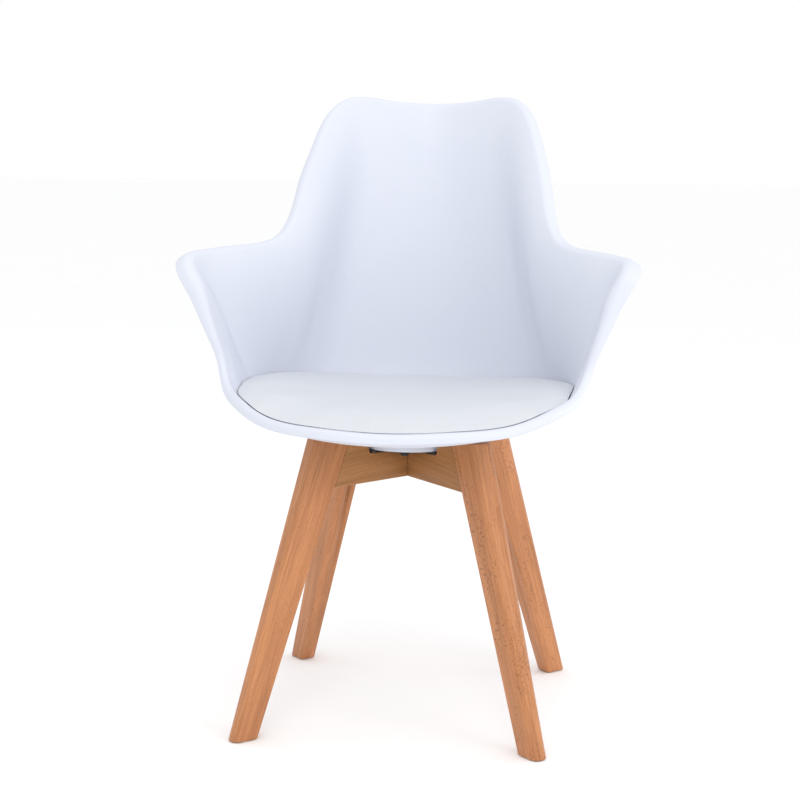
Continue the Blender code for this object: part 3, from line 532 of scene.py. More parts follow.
def make_object(name, vertices, faces, material, sharp_angle=40):
    mesh = bpy.data.meshes.new(name)
    mesh.from_pydata([tuple(map(float, vertex)) for vertex in vertices], [], faces)
    fix = bmesh.new()
    fix.from_mesh(mesh)
    bmesh.ops.recalc_face_normals(fix, faces=fix.faces)
    fix.to_mesh(mesh)
    fix.free()
    mesh.shade_smooth()
    mesh.set_sharp_from_angle(angle=math.radians(sharp_angle))
    mesh.materials.append(material)
    obj = bpy.data.objects.new(name, mesh)
    bpy.context.scene.collection.objects.link(obj)
    return obj


def circle(radius, z, sides, centre=(0.0, 0.0)):
    turns = [2 * math.pi * i / sides for i in range(sides)]
    return [(centre[0] + radius * math.cos(a), centre[1] + radius * math.sin(a), z) for a in turns]


def apply_modifiers(obj):
    """Replaces the object's mesh by its evaluated one and drops its modifiers."""
    graph = bpy.context.evaluated_depsgraph_get()
    mesh = bpy.data.meshes.new_from_object(obj.evaluated_get(graph))
    obj.modifiers.clear()
    obj.data = mesh


def cut(target, cutters):
    """Cuts the target by each cutter, and removes the cutters."""
    for other in cutters:
        modifier = target.modifiers.new(f"cut_{other.name}", "BOOLEAN")
        modifier.operation = "DIFFERENCE"
        modifier.solver = "EXACT"
        modifier.object = other
    apply_modifiers(target)
    for other in cutters:
        bpy.data.objects.remove(other, do_unlink=True)


def cutter_material():
    return bpy.data.materials.get("cutter") or bpy.data.materials.new("cutter")


def stand_for(piece, slot, *nodes):
    """The piece rides on the chair and is shown in place of these CAD nodes."""
    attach(piece, "root")
    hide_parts(*nodes)


# --- Shell surface ---------------------------------------------------------------------------


def closed_spline(knots, values, at):
    """Smooth periodic curve through the values at the knots; the last knot repeats the first."""
    steps = np.diff(knots)
    count = len(steps)
    values = np.asarray(values, float)[:count]
    matrix = np.zeros((count, count))
    right = np.zeros_like(values)
    slopes = (np.roll(values, -1, axis=0) - values) / steps[:, None]
    for i in range(count):
        before = steps[i - 1]
        matrix[i, i - 1] += before
        matrix[i, i] += 2 * (before + steps[i])
        matrix[i, (i + 1) % count] += steps[i]
        right[i] = 6 * (slopes[i] - slopes[i - 1])
    bend = np.linalg.solve(matrix, right)
    place = np.clip(np.searchsorted(knots, at, side="right") - 1, 0, count - 1)
    after = (place + 1) % count
    step = steps[place][:, None]
    b = (at - knots[place])[:, None]
    a = step - b
    cubic = bend[place] * a**3 + bend[after] * b**3
    linear_a = values[place] / step - bend[place] * step / 6
    linear_b = values[after] / step - bend[after] * step / 6
    return cubic / (6 * step) + linear_a * a + linear_b * b


def station_loop():
    """Rows of numbers for every station all the way round, with a knot value for each."""
    half = [
        [*rim, *way, angle, leave, follow, roll, sweep, flat]
        for _, rim, way, angle, leave, follow, roll, sweep, flat in STATIONS
    ]
    half = np.array(half, float)
    half[:, :3] *= MM
    half[:, 3:6] = unit(half[:, 3:6])
    half[:, 6] = np.radians(half[:, 6])
    half[:, 7:10] *= MM
    half[:, 10] = np.radians(half[:, 10])
    half[:, 11] *= MM
    other = half[-2:0:-1].copy()
    other[:, 0] *= -1
    other[:, 3] *= -1
    other[:, 6] = 2 * math.pi - other[:, 6]
    loop = np.concatenate([half, other, half[:1]])
    loop[-1, 6] = 2 * math.pi
    knots = np.concatenate([[0], np.cumsum(np.linalg.norm(np.diff(loop[:, :3], axis=0), axis=1))])
    return knots / knots[-1], loop


def station_rows(at):
    """The station numbers at each place; the pan angle gains a full turn on the way round."""
    knots, loop = station_loop()
    level = loop.copy()
    level[:, 6] -= 2 * math.pi * knots
    rows = closed_spline(knots, level, at)
    rows[:, 6] += 2 * math.pi * at
    return rows


def pan_edge(angle):
    """Plan point of the pan's edge at an angle from the front, and its height."""
    power = 2 / (PAN_CORNER_POWER + PAN_BACK_CORNER_GAIN * (1 - np.cos(angle)))
    depth = np.where(np.cos(angle) > 0, PAN_FRONT, PAN_BACK)
    x = PAN_HALF_WIDTH * np.sign(np.sin(angle)) * np.abs(np.sin(angle)) ** power
    y = PAN_CENTRE_Y - depth * np.sign(np.cos(angle)) * np.abs(np.cos(angle)) ** power
    z = PAN_EDGE_Z - PAN_EDGE_FRONT_DROP * np.cos(angle) + PAN_EDGE_SIDE_RISE * np.sin(angle) ** 2
    return np.stack([x, y, z], axis=-1)


def pan_points(angle, fraction):
    """Points on the pan's dished top, a fraction of the way from its middle to its edge."""
    edge = pan_edge(angle)
    middle = np.array([0.0, PAN_CENTRE_Y, PAN_LOW_Z])
    points = middle + (edge - middle) * fraction
    points[..., 2] = PAN_LOW_Z + (edge[..., 2] - PAN_LOW_Z) * fraction**PAN_DISH_POWER
    return points


def pan_height(x, y):
    """Height of the pan's top over a plan point."""
    angle = math.atan2(x / PAN_HALF_WIDTH, (PAN_CENTRE_Y - y) / PAN_FRONT)
    edge = pan_edge(np.array([angle]))[0]
    fraction = math.hypot(x, y - PAN_CENTRE_Y) / math.hypot(edge[0], edge[1] - PAN_CENTRE_Y)
    return PAN_LOW_Z + (edge[2] - PAN_LOW_Z) * fraction**PAN_DISH_POWER


def wall_beziers(rows):
    """The four Bezier points of the wall at each place round the rim."""
    rim, way, angle = rows[:, :3], unit(rows[:, 3:6]), rows[:, 6]
    leave, follow = rows[:, 7:8], rows[:, 8:9]
    edge = pan_edge(angle)
    outward = unit(edge - pan_points(angle, PAN_SLOPE_FRACTION))
    return np.stack([edge, edge + outward * leave, rim - way * follow, rim], axis=1)


def wall_points(bezier, t):
    weights = ((1 - t) ** 3, 3 * t * (1 - t) ** 2, 3 * t**2 * (1 - t), t**3)
    return sum(weight * bezier[:, i] for i, weight in enumerate(weights))


def grid_normals(rings):
    """Unit normals of a stack of closed rings, pointing to the shell's outside."""
    around = np.roll(rings, -1, axis=1) - np.roll(rings, 1, axis=1)
    across = np.gradient(rings, axis=0)
    return unit(np.cross(around, across))


def sheet_sides():
    """The top and hidden faces of the moulded sheet, as rings from the pan's middle to the rim."""
    knots, _ = station_loop()
    at = np.interp(np.arange(SHELL_AROUND) / SHELL_AROUND, np.linspace(0, 1, len(knots)), knots)
    rows = station_rows(at)
    bezier = wall_beziers(rows)
    fractions = np.linspace(0, 1, PAN_RINGS + 1)[1:-1]
    rings = [pan_points(rows[:, 6], fraction) for fraction in fractions]
    rings += [wall_points(bezier, t) for t in np.linspace(0, 1, WALL_RINGS + 1)]
    top = np.array(rings)
    normals = grid_normals(top)
    hidden = top + normals * SHELL_THICKNESS
    rim, out = top[-1], normals[-1]
    way = unit(rows[:, 3:6])
    way = unit(way - out * (way * out).sum(axis=1, keepdims=True))
    radius, sweep, flat = rows[:, 9:10], rows[:, 10:11], rows[:, 11:12]
    centre = rim + out * radius
    roll_top, roll_hidden = [], []
    for i in range(1, ROLL_RINGS + 1):
        turn = sweep * i / ROLL_RINGS
        inward = out * np.cos(turn) - way * np.sin(turn)
        roll_top.append(centre - inward * radius)
        roll_hidden.append(centre - inward * (radius - SHELL_THICKNESS))
    ahead = out * np.sin(sweep) + way * np.cos(sweep)
    for _ in range(FLAT_RINGS):
        roll_top.append(roll_top[-1] + ahead * flat / FLAT_RINGS)
        roll_hidden.append(roll_hidden[-1] + ahead * flat / FLAT_RINGS)
    return np.concatenate([top, roll_top]), np.concatenate([hidden, roll_hidden])


def rounded_nose(top, hidden):
    """Rings of a half-round edge from the top face's last ring to the hidden face's."""
    centre = (top[-1] + hidden[-1]) / 2
    ahead = unit(top[-1] - top[-2]) * SHELL_THICKNESS / 2
    side = top[-1] - centre
    turns = [math.pi * i / NOSE_STEPS for i in range(1, NOSE_STEPS)]
    return [centre + side * math.cos(turn) + ahead * math.sin(turn) for turn in turns]


def shell_sheet(material):
    top, hidden = sheet_sides()
    rings = [*top, *rounded_nose(top, hidden), *hidden[::-1]]
    middle = (0.0, PAN_CENTRE_Y, PAN_LOW_Z)
    under = (0.0, PAN_CENTRE_Y, PAN_LOW_Z - SHELL_THICKNESS)
    return make_object("shell_moulding", *ring_stack(rings, middle, under), material, 70)


# --- Boss under the shell --------------------------------------------------------------------


def arc(centre, radius, start, end, steps):
    """Points of an arc in a plane, from one angle to another, in degrees."""
    turns = [math.radians(start + (end - start) * i / steps) for i in range(steps + 1)]
    return [(centre[0] + radius * math.cos(a), centre[1] + radius * math.sin(a)) for a in turns]


def raised_ring(radius, above, sides, centre=(0.0, 0.0)):
    """A ring that follows the pan's hidden face, a little above or below it."""
    ring = circle(radius, 0.0, sides, centre)
    return [(x, y, pan_height(x, y) - SHELL_THICKNESS + above) for x, y, _ in ring]


def fillet_rings(radius, outward, sides, centre=(0.0, 0.0)):
    """Rings that sweep a wall into the pan's hidden face."""
    rings = []
    for reach, drop in arc((BOSS_FILLET, -BOSS_FILLET), BOSS_FILLET, 180, 90, EDGE_STEPS + 1):
        rings.append(raised_ring(radius + outward * reach, drop, sides, centre))
    return [*rings, raised_ring(radius + outward * BOSS_FILLET, SHELL_THICKNESS / 2, sides, centre)]


def boss(material):
    """The round wall under the pan, filleted into it inside and out."""
    inner = BOSS_RADIUS - BOSS_WALL
    low = BOSS_BOTTOM_Z
    edge = arc((BOSS_RADIUS - BOSS_EDGE, low + BOSS_EDGE), BOSS_EDGE, 0, -90, EDGE_STEPS)
    edge += arc((inner + BOSS_EDGE, low + BOSS_EDGE), BOSS_EDGE, -90, -180, EDGE_STEPS)
    rings = fillet_rings(BOSS_RADIUS, 1, BOSS_SIDES)[::-1]
    rings += [circle(radius, z, BOSS_SIDES) for radius, z in edge]
    rings += fillet_rings(inner, -1, BOSS_SIDES)
    return make_object("shell_boss", *torus_stack(rings), material, 50)


def bolt_spots():
    turns = (math.pi / 2 * i for i in range(4))
    return [(POST_CIRCLE * math.cos(turn), POST_CIRCLE * math.sin(turn)) for turn in turns]


def post(i, spot, material):
    """A bolt post with the hole for its threaded insert."""
    low = BOSS_BOTTOM_Z
    hole_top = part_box("shell_insert_1")[1].z + GAP
    rings = [circle(INSERT_HOLE_RADIUS, hole_top, POST_SIDES, spot)]
    rings += [circle(INSERT_HOLE_RADIUS, low, POST_SIDES, spot)]
    rings += [circle(POST_RADIUS - POST_EASE, low, POST_SIDES, spot)]
    rings += [circle(POST_RADIUS, low + POST_EASE, POST_SIDES, spot)]
    rings += fillet_rings(POST_RADIUS, 1, POST_SIDES, spot)
    return make_object(f"shell_post_{i}", *ring_stack(rings), material, 50)


def shell():
    material = shell_plastic()
    stand_for(shell_sheet(material), "shell_plastic", "seat_shell")
    stand_for(boss(material), "shell_plastic", "seat_shell")
    for i, spot in enumerate(bolt_spots(), start=1):
        stand_for(post(i, spot, material), "shell_plastic", "seat_shell")


# --- Seat pad --------------------------------------------------------------------------------


def pad_edge_height(angle):
    """Height of the line where the pad meets the shell, at an angle from the front."""
    front = PAD_FRONT_Z + (PAD_SIDE_Z - PAD_FRONT_Z) * np.abs(np.sin(angle)) ** 3
    back = PAD_BACK_Z + (PAD_SIDE_Z - PAD_BACK_Z) * np.sin(angle) ** 2
    return np.where(np.cos(angle) > 0, front, back)


def roll_start(rows, before):
    """The first part of the rim's roll at each place, up from the wall's end."""
    rim, way = rows[:, :3], unit(rows[:, 3:6])
    across = unit(np.roll(rim, -1, axis=0) - np.roll(rim, 1, axis=0))
    out = unit(np.cross(across, rim - before))
    from_middle = rim - np.array([0.0, PAN_CENTRE_Y, rim[0, 2]])
    out = np.where((out * from_middle).sum(axis=1, keepdims=True) < 0, -out, out)
    out = unit(out - way * (way * out).sum(axis=1, keepdims=True))
    radius, sweep = rows[:, 9:10], rows[:, 10:11]
    rings = []
    for i in range(1, ROLL_STEPS + 1):
        turn = sweep * PAD_ROLL_SHARE * i / ROLL_STEPS
        rings.append(rim + out * radius * (1 - np.cos(turn)) + way * radius * np.sin(turn))
    return rings


def pad_edge(angle):
    """The pad's edge: the points of the wall, or of the roll above it, at the edge's height."""
    at = np.linspace(0, 1, ANGLE_SAMPLES)
    places = np.interp(angle, station_rows(at)[:, 6], at)
    bezier = wall_beziers(station_rows(places))
    heights = pad_edge_height(angle)
    walls = [wall_points(bezier, t) for t in np.linspace(0, 1, WALL_SAMPLES) ** WALL_SAMPLE_POWER]
    walls = np.array([*walls, *roll_start(station_rows(places), walls[-2])])
    edge = np.empty((len(angle), 3))
    for i, height in enumerate(heights):
        for axis in range(3):
            edge[i, axis] = np.interp(height, walls[:, i, 2], walls[:, i, axis])
    edge[:, 2] += PAD_EDGE_LIFT
    return edge


def pad_ring(angle, inset, fraction, lift):
    """A ring of the pad's bottom side: on the dish, lifted off it."""
    middle = np.array([0.0, PAN_CENTRE_Y])
    ring = pan_points(angle, fraction)
    ring[:, 2] += lift
    ring[:, :2] -= unit(ring[:, :2] - middle) * inset
    return ring


def crown(fraction, edge_z):
    """Height of the pad's top, a fraction of the way from its middle to its edge."""
    base = edge_z * fraction**2 + PAD_MIDDLE_Z * (1 - fraction**2)
    return base + PAD_EDGE_RISE * np.sqrt(np.maximum(0.0, 1 - fraction**6))


def pad_top(edge, fraction):
    middle = np.array([0.0, PAN_CENTRE_Y])
    way = edge[:, :2] - middle
    length = np.linalg.norm(way, axis=1, keepdims=True)
    plan = middle + way * (length - PAD_SIDE_GAP) / length * fraction
    return np.column_stack([plan, crown(fraction, edge[:, 2])])


def pad_rings(angle, edge):
    """Rings from the pad's grid patch out over its top, down its side and in under the board."""
    spread = np.linspace(math.sqrt(1 - PAD_GRID_FRACTION), 0, PAD_TOP_RINGS)
    top = [pad_top(edge, 1 - s**2) for s in spread]
    low, high = PAD_UNDER_GAP, PAD_UNDER_GAP + PAD_SKIN
    foam = high + 2 * GAP + PAD_BOARD_THICKNESS
    corner = pad_ring(angle, 0.0, PAD_SIDE_FRACTION, low)
    side = [top[-1] + (corner - top[-1]) * i / 4 for i in range(1, 4)]
    under = [
        corner,
        pad_ring(angle, 0.0, PAD_TURN_IN_FRACTION, low),
        pad_ring(angle, 0.0, PAD_TURN_IN_FRACTION, high),
        pad_ring(angle, PAD_SKIN, PAD_SIDE_FRACTION, high),
    ]
    fractions = (PAD_SIDE_FRACTION, *PAD_BOTTOM_FRACTIONS)
    bottom = [pad_ring(angle, PAD_SKIN, fraction, foam) for fraction in fractions]
    return top, side, under, bottom


def pad_rows(vertices, faces, edge):
    """Joins the innermost ring by a square grid of faces, its heights on the pad's crown."""
    side = PAD_AROUND // 4
    ring = np.array(vertices[:PAD_AROUND])
    grid = np.empty((side + 1, side + 1), int)
    grid[:, 0] = np.arange(side + 1)
    grid[side, :] = np.arange(side, 2 * side + 1)
    grid[:, side] = np.arange(3 * side, 2 * side - 1, -1)
    grid[0, :] = -np.arange(side + 1) % PAD_AROUND
    low, high = ring[grid[:, 0]], ring[grid[:, side]]
    left, right = ring[grid[0, :]], ring[grid[side, :]]
    for i in range(1, side):
        for j in range(1, side):
            u, v = i / side, j / side
            point = (1 - v) * low[i] + v * high[i] + (1 - u) * left[j] + u * right[j]
            point -= (1 - u) * (1 - v) * ring[grid[0, 0]] + u * v * ring[grid[side, side]]
            point -= u * (1 - v) * ring[grid[side, 0]] + (1 - u) * v * ring[grid[0, side]]
            grid[i, j] = len(vertices)
            height = crown_over(edge, point[0], point[1])
            vertices.append((float(point[0]), float(point[1]), height))
    for i in range(side):
        for j in range(side):
            faces.append((grid[i, j], grid[i + 1, j], grid[i + 1, j + 1], grid[i, j + 1]))


def crown_over(edge, x, y):
    """Height of the pad's top over a plan point, from the edge in that direction."""
    turns = np.arctan2(edge[:, 0], PAN_CENTRE_Y - edge[:, 1])
    order = np.argsort(turns)
    reach = np.linalg.norm(edge[:, :2] - np.array([0.0, PAN_CENTRE_Y]), axis=1) - PAD_SIDE_GAP
    turn = math.atan2(x, PAN_CENTRE_Y - y)
    far = np.interp(turn, turns[order], reach[order], period=2 * math.pi)
    edge_z = np.interp(turn, turns[order], edge[order, 2], period=2 * math.pi)
    return float(crown(math.hypot(x, y - PAN_CENTRE_Y) / far, edge_z))


def pad_mesh(material):
    """The pad as one closed form with a rebate round its board; its top's middle is a grid."""
    angle = np.arange(PAD_AROUND) * 2 * math.pi / PAD_AROUND
    edge = pad_edge(angle)
    top, side, under, bottom = pad_rings(angle, edge)
    foam_z = PAN_LOW_Z + PAD_UNDER_GAP + PAD_SKIN + 2 * GAP + PAD_BOARD_THICKNESS
    low = (0.0, PAN_CENTRE_Y, foam_z)
    vertices, faces = ring_stack([*top, *side, *under, *bottom], None, low)
    faces = [face for face in faces if len(face) <= 4]
    pad_rows(vertices, faces, edge)
    return make_object("seat_cushion", vertices, faces, material, 60)


def simulate_pad(pad, free):
    """Swells the cover as cloth, held wherever it isn't free, and limits its moves to the cap."""
    group = pad.vertex_groups.new(name="held")
    group.add([i for i in range(len(pad.data.vertices)) if i not in free], 1.0, "REPLACE")
    rest = np.array([v.co for v in pad.data.vertices])
    cloth = pad.modifiers.new("cover", "CLOTH")
    cloth.settings.quality = CLOTH_QUALITY
    cloth.settings.mass = CLOTH_MASS
    cloth.settings.tension_stiffness = CLOTH_TENSION
    cloth.settings.compression_stiffness = CLOTH_COMPRESSION
    cloth.settings.bending_stiffness = CLOTH_BENDING
    cloth.settings.use_pressure = True
    cloth.settings.uniform_pressure_force = CLOTH_PRESSURE
    cloth.settings.vertex_group_mass = "held"
    cloth.settings.effector_weights.gravity = 0.0
    scene = bpy.context.scene
    for step in range(1, CLOTH_FRAMES + 1):
        scene.frame_set(step)
    graph = bpy.context.evaluated_depsgraph_get()
    moved = np.array([v.co for v in pad.evaluated_get(graph).data.vertices])
    pad.modifiers.clear()
    scene.frame_set(1)
    move = moved - rest
    length = np.linalg.norm(move, axis=1, keepdims=True)
    move *= np.minimum(1.0, PAD_SWELL_CAP / np.maximum(length, 1e-9))
    for vertex, place in zip(pad.data.vertices, rest + move):
        vertex.co = place


def free_cover(pad):
    """The cover's vertices that face up and stand clear of the pan."""
    free = set()
    for vertex in pad.data.vertices:
        x, y, z = vertex.co
        if vertex.normal.z > PAD_FREE_FACING and z > pan_height(x, y) + PAD_FREE_HEIGHT:
            free.add(vertex.index)
    return free


def seat_pad():
    pad = pad_mesh(pad_leather())
    simulate_pad(pad, free_cover(pad))
    smooth = pad.modifiers.new("finer", "SUBSURF")
    smooth.levels = 1
    smooth.render_levels = 1
    apply_modifiers(pad)
    stand_for(pad, "pad_leather", "pad_cover", "pad_foam")


# --- Beech base ------------------------------------------------------------------------------


def radial_frame(side_x, side_y):
    """Turns (radial, tangential, z) into the world for one diagonal."""
    return Matrix.Rotation(math.atan2(side_y, side_x), 4, "Z")


def leg_section(z, inset):
    """One level of a leg: well rounded outer corners and crisp inner ones."""
    outer = LEG_OUTER_RADIUS - LEG_OUTER_LEAN * z - inset
    inner = LEG_INNER_RADIUS - LEG_INNER_LEAN * z + inset
    half = LEG_HALF_WIDTH + LEG_HALF_WIDTH_GROWTH * z - inset
    big, small = LEG_OUTER_CORNER, LEG_INNER_CORNER
    section = arc((outer - big, half - big), big, 0, 90, LEG_OUTER_STEPS)
    section += arc((inner + small, half - small), small, 90, 180, LEG_INNER_STEPS)
    section += arc((inner + small, small - half), small, 180, 270, LEG_INNER_STEPS)
    section += arc((outer - big, big - half), big, 270, 360, LEG_OUTER_STEPS)
    return [(x, y, z) for x, y in section]


def round_cutter(name, start, end, radius, turn, sides=CUTTER_SIDES):
    """A bar between two points of the leg's radial frame, as a cutter."""
    start, end = turn @ Vector(start), turn @ Vector(end)
    along = (end - start).normalized()
    frame_turn = along.to_track_quat("Z", "Y").to_matrix()
    rings = []
    for spot in (start, end):
        rings.append([spot + frame_turn @ Vector(point) for point in circle(radius, 0.0, sides)])
    return make_object(name, *ring_stack(rings), cutter_material())


def leg(side, side_x, side_y, material):
    """A tapered, splayed leg with its eased ends, dowel holes and glide recess."""
    low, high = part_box(f"leg_{side}")
    turns = np.linspace(0, math.pi / 2, LEG_EASE_STEPS)
    eases = [(LEG_EASE * (1 - math.cos(a)), LEG_EASE * (1 - math.sin(a))) for a in turns]
    levels = [(low.z + rise, inset) for rise, inset in eases]
    levels += [(high.z - rise, inset) for rise, inset in eases[::-1]]
    turn = radial_frame(side_x, side_y)
    rings = [[turn @ Vector(point) for point in leg_section(z, inset)] for z, inset in levels]
    shaft = make_object(f"{side}_leg", *ring_stack(rings), material, 30)
    holes = []
    for i, z in enumerate(DOWEL_HEIGHTS, start=1):
        face = LEG_INNER_RADIUS - LEG_INNER_LEAN * z
        start = (face - HOLE_OVERRUN, 0, z)
        end = (face + DOWEL_LENGTH / 2 + DOWEL_END_ROOM, 0, z)
        holes.append(round_cutter(f"hole_{i}", start, end, DOWEL_RADIUS + GAP, turn))
    glide_low, glide_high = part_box(f"foot_glide_{side}")
    foot = (LEG_OUTER_RADIUS + LEG_INNER_RADIUS) / 2
    radius = (glide_high.x - glide_low.x) / 2 + GAP
    start, end = (foot, 0, -RECESS_OVERRUN), (foot, 0, glide_high.z + GAP)
    holes.append(round_cutter("recess", start, end, radius, turn, RECESS_SIDES))
    cut(shaft, holes)
    return shaft


def leg_grain(side_x, side_y):
    """Turns world coordinates so that local Z runs along a leg."""
    lean = (LEG_OUTER_LEAN + LEG_INNER_LEAN) / 2
    shift = lean / math.sqrt(2)
    along = Vector((-side_x * shift, -side_y * shift, 1.0)).normalized()
    out = Vector((side_x, side_y, 0)).normalized()
    across = along.cross(out).normalized()
    rows = Matrix((across.cross(along), across, along))
    return rows.to_euler("XYZ")


def rail_grain(side_x, side_y, slope):
    """Turns world coordinates so that local Z runs along a rail, with a slanted grain."""
    level = Vector((side_x, side_y, 0)).normalized()
    along = level * math.cos(slope) + Vector((0, 0, math.sin(slope)))
    across = Vector((-side_y, side_x, 0)).normalized()
    rows = Matrix((along.cross(across) * -1, across, along))
    return rows.to_euler("XYZ")


def base():
    for side, side_x, side_y in CORNERS:
        shift, ray_share, tone = LEG_BOARDS_AND_PAINTED_LIGHT[side]
        # The leg's tone scales its wood colours: partly the wood's own tone, partly painted light and
        # shade
        light = tuple(value * tone for value in LEG_LIGHT)
        dark = tuple(value * tone for value in LEG_DARK)
        grain = leg_grain(side_x, side_y)
        wood = beech(f"beech_{side}", grain, shift, ray_share, light, dark)
        stand_for(leg(side, side_x, side_y, wood), "beech", f"leg_{side}")
    for name, side_x, side_y, slope in RAILS:
        grain = rail_grain(side_x, side_y, slope)
        # Rail colours with painted shade of the shell over them besides the wood's own darker tone
        wood = beech(f"beech_{name}", grain, RAIL_SHIFT, RAIL_RAYS, RAIL_LIGHT_SHADED, RAIL_DARK_SHADED)
        repaint(name, wood)
    dowel_wood = raw_beech()
    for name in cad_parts:
        if name.startswith("leg_dowel"):
            repaint(name, dowel_wood)


def repaint(node, material):
    """Gives a carried-over CAD node its finished material."""
    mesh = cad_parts[node].data
    mesh.materials.clear()
    mesh.materials.append(material)


# --- Hardware --------------------------------------------------------------------------------


def turned(name, profile, spot, material, sides=TURNED_SIDES):
    rings = [circle(radius, z, sides, spot) for radius, z in profile]
    return make_object(name, *ring_stack(rings), material, 35)


def sleeve(name, profile, spot, material):
    rings = [circle(radius, z, TURNED_SIDES, spot) for radius, z in profile]
    return make_object(name, *torus_stack(rings), material, 35)


def node_axis(node):
    """Plan centre, outer radius, bottom and top of an upright round CAD node."""
    low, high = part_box(node)
    centre = ((low.x + high.x) / 2, (low.y + high.y) / 2)
    return centre, (high.x - low.x) / 2, low.z, high.z


def cross_recess(name, spot, low, recess):
    """Two tapered bars that cut a cross recess into a screw head from below."""
    size, depth = recess
    overrun, mouth_scale = RECESS_MOUTH
    bars = []
    for i, (a, b) in enumerate(((1.0, RECESS_ARM), (RECESS_ARM, 1.0))):
        rings = []
        for z, scale in ((low - overrun, mouth_scale), (low + depth, RECESS_FLOOR_SCALE)):
            x, y = a * size * scale, b * size * scale
            turns = ((1, 1), (-1, 1), (-1, -1), (1, -1))
            rings.append([(spot[0] + sx * x, spot[1] + sy * y, z) for sx, sy in turns])
        bars.append(make_object(f"{name}_bar_{i}", *ring_stack(rings), cutter_material()))
    return bars


def dome(head, level, height, steps):
    """A screw head's rounded underside, from near its middle out to its rim's level."""
    turns = np.linspace(DOME_START, math.pi / 2, steps)
    return [(head * math.sin(a), level - height * math.cos(a)) for a in turns]


def shell_bolt(i, material):
    """A pan-head machine screw with a cross recess and a plain shank."""
    node = f"shell_bolt_{i}"
    spot, head, low, high = node_axis(node)
    seat = low + BOLT_HEAD_HEIGHT
    profile = dome(head, seat - BOLT_RIM, BOLT_DOME, BOLT_DOME_STEPS)
    profile += [(head, seat - BOLT_EDGE), (head - BOLT_EDGE, seat), (BOLT_SHANK, seat)]
    profile += [(BOLT_SHANK, high - BOLT_POINT), (BOLT_SHANK - BOLT_POINT, high)]
    bolt = turned(f"machine_screw_{i}", profile, spot, material)
    cut(bolt, cross_recess(node, spot, low, BOLT_RECESS))
    stand_for(bolt, "black_steel", node)


def washer(i, material):
    node = f"bolt_washer_{i}"
    spot, outer, low, high = node_axis(node)
    inner = outer - WASHER_EASE
    profile = [(inner, low), (outer, low + WASHER_EASE), (outer, high - WASHER_EASE), (inner, high)]
    profile += [(BORE_RADIUS, high), (BORE_RADIUS, low)]
    stand_for(sleeve(f"flat_washer_{i}", profile, spot, material), "black_steel", node)


def insert(i, material):
    """A brass insert with a groove round its outside and a plain bore."""
    node = f"shell_insert_{i}"
    spot, outer, low, high = node_axis(node)
    groove = outer - INSERT_GROOVE
    start, end = low + (high - low) * 2 / 6, low + (high - low) * 4 / 6
    profile = [(BORE_RADIUS + INSERT_LEAD, low), (outer, low), (outer, start)]
    profile += [(groove, start + INSERT_SHOULDER), (groove, end - INSERT_SHOULDER)]
    profile += [(outer, end), (outer, high), (BORE_RADIUS, high), (BORE_RADIUS, low + INSERT_LEAD)]
    stand_for(sleeve(f"threaded_insert_{i}", profile, spot, material), "brass", node)


def pad_screw(i, material):
    node = f"pad_screw_{i}"
    spot, head, low, high = node_axis(node)
    seat = low + PAD_SCREW_HEAD_HEIGHT
    profile = dome(head, seat - PAD_SCREW_RIM, PAD_SCREW_DOME, PAD_SCREW_DOME_STEPS)
    profile += [(head, seat), (PAD_SCREW_SHANK, seat), (PAD_SCREW_SHANK, high)]
    screw = turned(f"pad_fixing_screw_{i}", profile, spot, material)
    cut(screw, cross_recess(node, spot, low, PAD_SCREW_RECESS))
    stand_for(screw, "zinc", node)


def glide(side, material):
    """A foot glide with an eased edge and a shallow dimple in its sole."""
    node = f"foot_glide_{side}"
    spot, outer, low, high = node_axis(node)
    dimple, rise = GLIDE_DIMPLE
    inner = outer - GLIDE_EASE
    profile = [(outer * dimple, low + rise), (outer * GLIDE_SOLE, low)]
    for turn in np.linspace(0, math.pi / 2, GLIDE_EASE_STEPS):
        profile.append((inner + GLIDE_EASE * math.sin(turn), low + GLIDE_EASE * (1 - math.cos(turn))))
    profile.append((outer, high))
    piece = turned(f"{side}_glide", profile, spot, material, GLIDE_SIDES)
    stand_for(piece, "nylon", node)


def hardware():
    zinc, brass, plastic, black = zinc_plate(), turned_brass(), nylon(), black_powder_coat()
    for i in range(1, 5):
        shell_bolt(i, black)
        washer(i, black)
        insert(i, brass)
        pad_screw(i, zinc)
        repaint(f"plate_screw_{i}", zinc)
    for side, _, _ in CORNERS:
        glide(side, plastic)
    repaint("mounting_plate", black)
    repaint("pad_board", moulded_board())


# --- Studio ----------------------------------------------------------------------------------


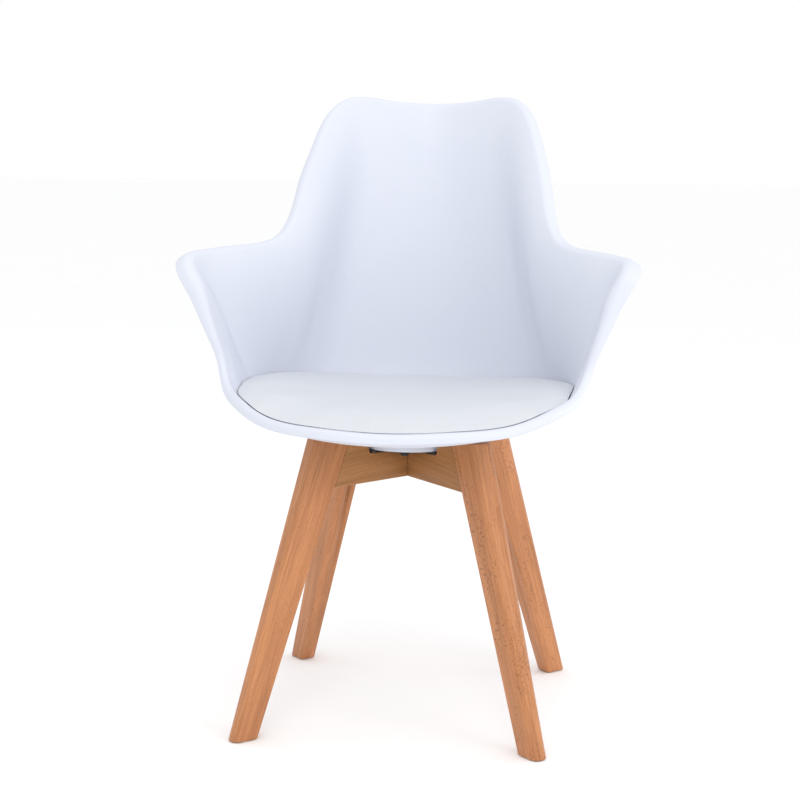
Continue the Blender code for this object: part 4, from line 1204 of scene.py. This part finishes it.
def camera():
    data = bpy.data.cameras.new("camera")
    data.lens = CAMERA_LENS
    data.sensor_width = CAMERA_SENSOR
    obj = bpy.data.objects.new("camera", data)
    bpy.context.scene.collection.objects.link(obj)
    turn = Matrix.Rotation(math.radians(CAMERA_YAW), 4, "Z")
    tilt = Matrix.Rotation(math.radians(90 - CAMERA_DOWN), 4, "X")
    roll = Matrix.Rotation(math.radians(CAMERA_ROLL), 4, "Z")
    obj.matrix_world = Matrix.Translation(CAMERA_PLACE) @ turn @ tilt @ roll
    bpy.context.scene.camera = obj


def area_light(name, place, target, size, power, colour):
    data = bpy.data.lights.new(name, "AREA")
    data.shape = "RECTANGLE"
    data.size, data.size_y = size
    data.energy = power
    data.color = colour
    obj = bpy.data.objects.new(name, data)
    bpy.context.scene.collection.objects.link(obj)
    obj.location = place
    obj.rotation_euler = (Vector(target) - Vector(place)).to_track_quat("-Z", "Y").to_euler()


def floor():
    """A plain pale floor."""
    surface = Surface("floor", 0.9, Specular_IOR_Level=0.1)
    surface.colour(surface.mix(surface.noise(surface.place, 1.5, 2.0), *FLOOR_TINTS))
    half, drop = FLOOR_HALF, -FLOOR_DROP
    corners = [(-half, -half, drop), (half, -half, drop), (half, half, drop), (-half, half, drop)]
    mesh = bpy.data.meshes.new("floor")
    mesh.from_pydata(corners, [], [(0, 1, 2, 3)])
    mesh.materials.append(surface.material)
    obj = bpy.data.objects.new("floor", mesh)
    bpy.context.scene.collection.objects.link(obj)


def studio():
    """Even white surroundings, with soft lights in front, on the right, low on the right and above."""
    world = bpy.data.worlds.new("studio")
    bpy.context.scene.world = world
    world.use_nodes = True
    ambient = world.node_tree.nodes["Background"]
    ambient.inputs["Color"].default_value = (1.0, 1.0, 1.0, 1.0)
    ambient.inputs["Strength"].default_value = 1.0
    for light in LIGHTS:
        area_light(*light)
    bpy.context.scene.view_settings.view_transform = "Standard"
    floor()


# --- The chair -------------------------------------------------------------------------------

camera()
studio()
shell()
seat_pad()
base()
hardware()
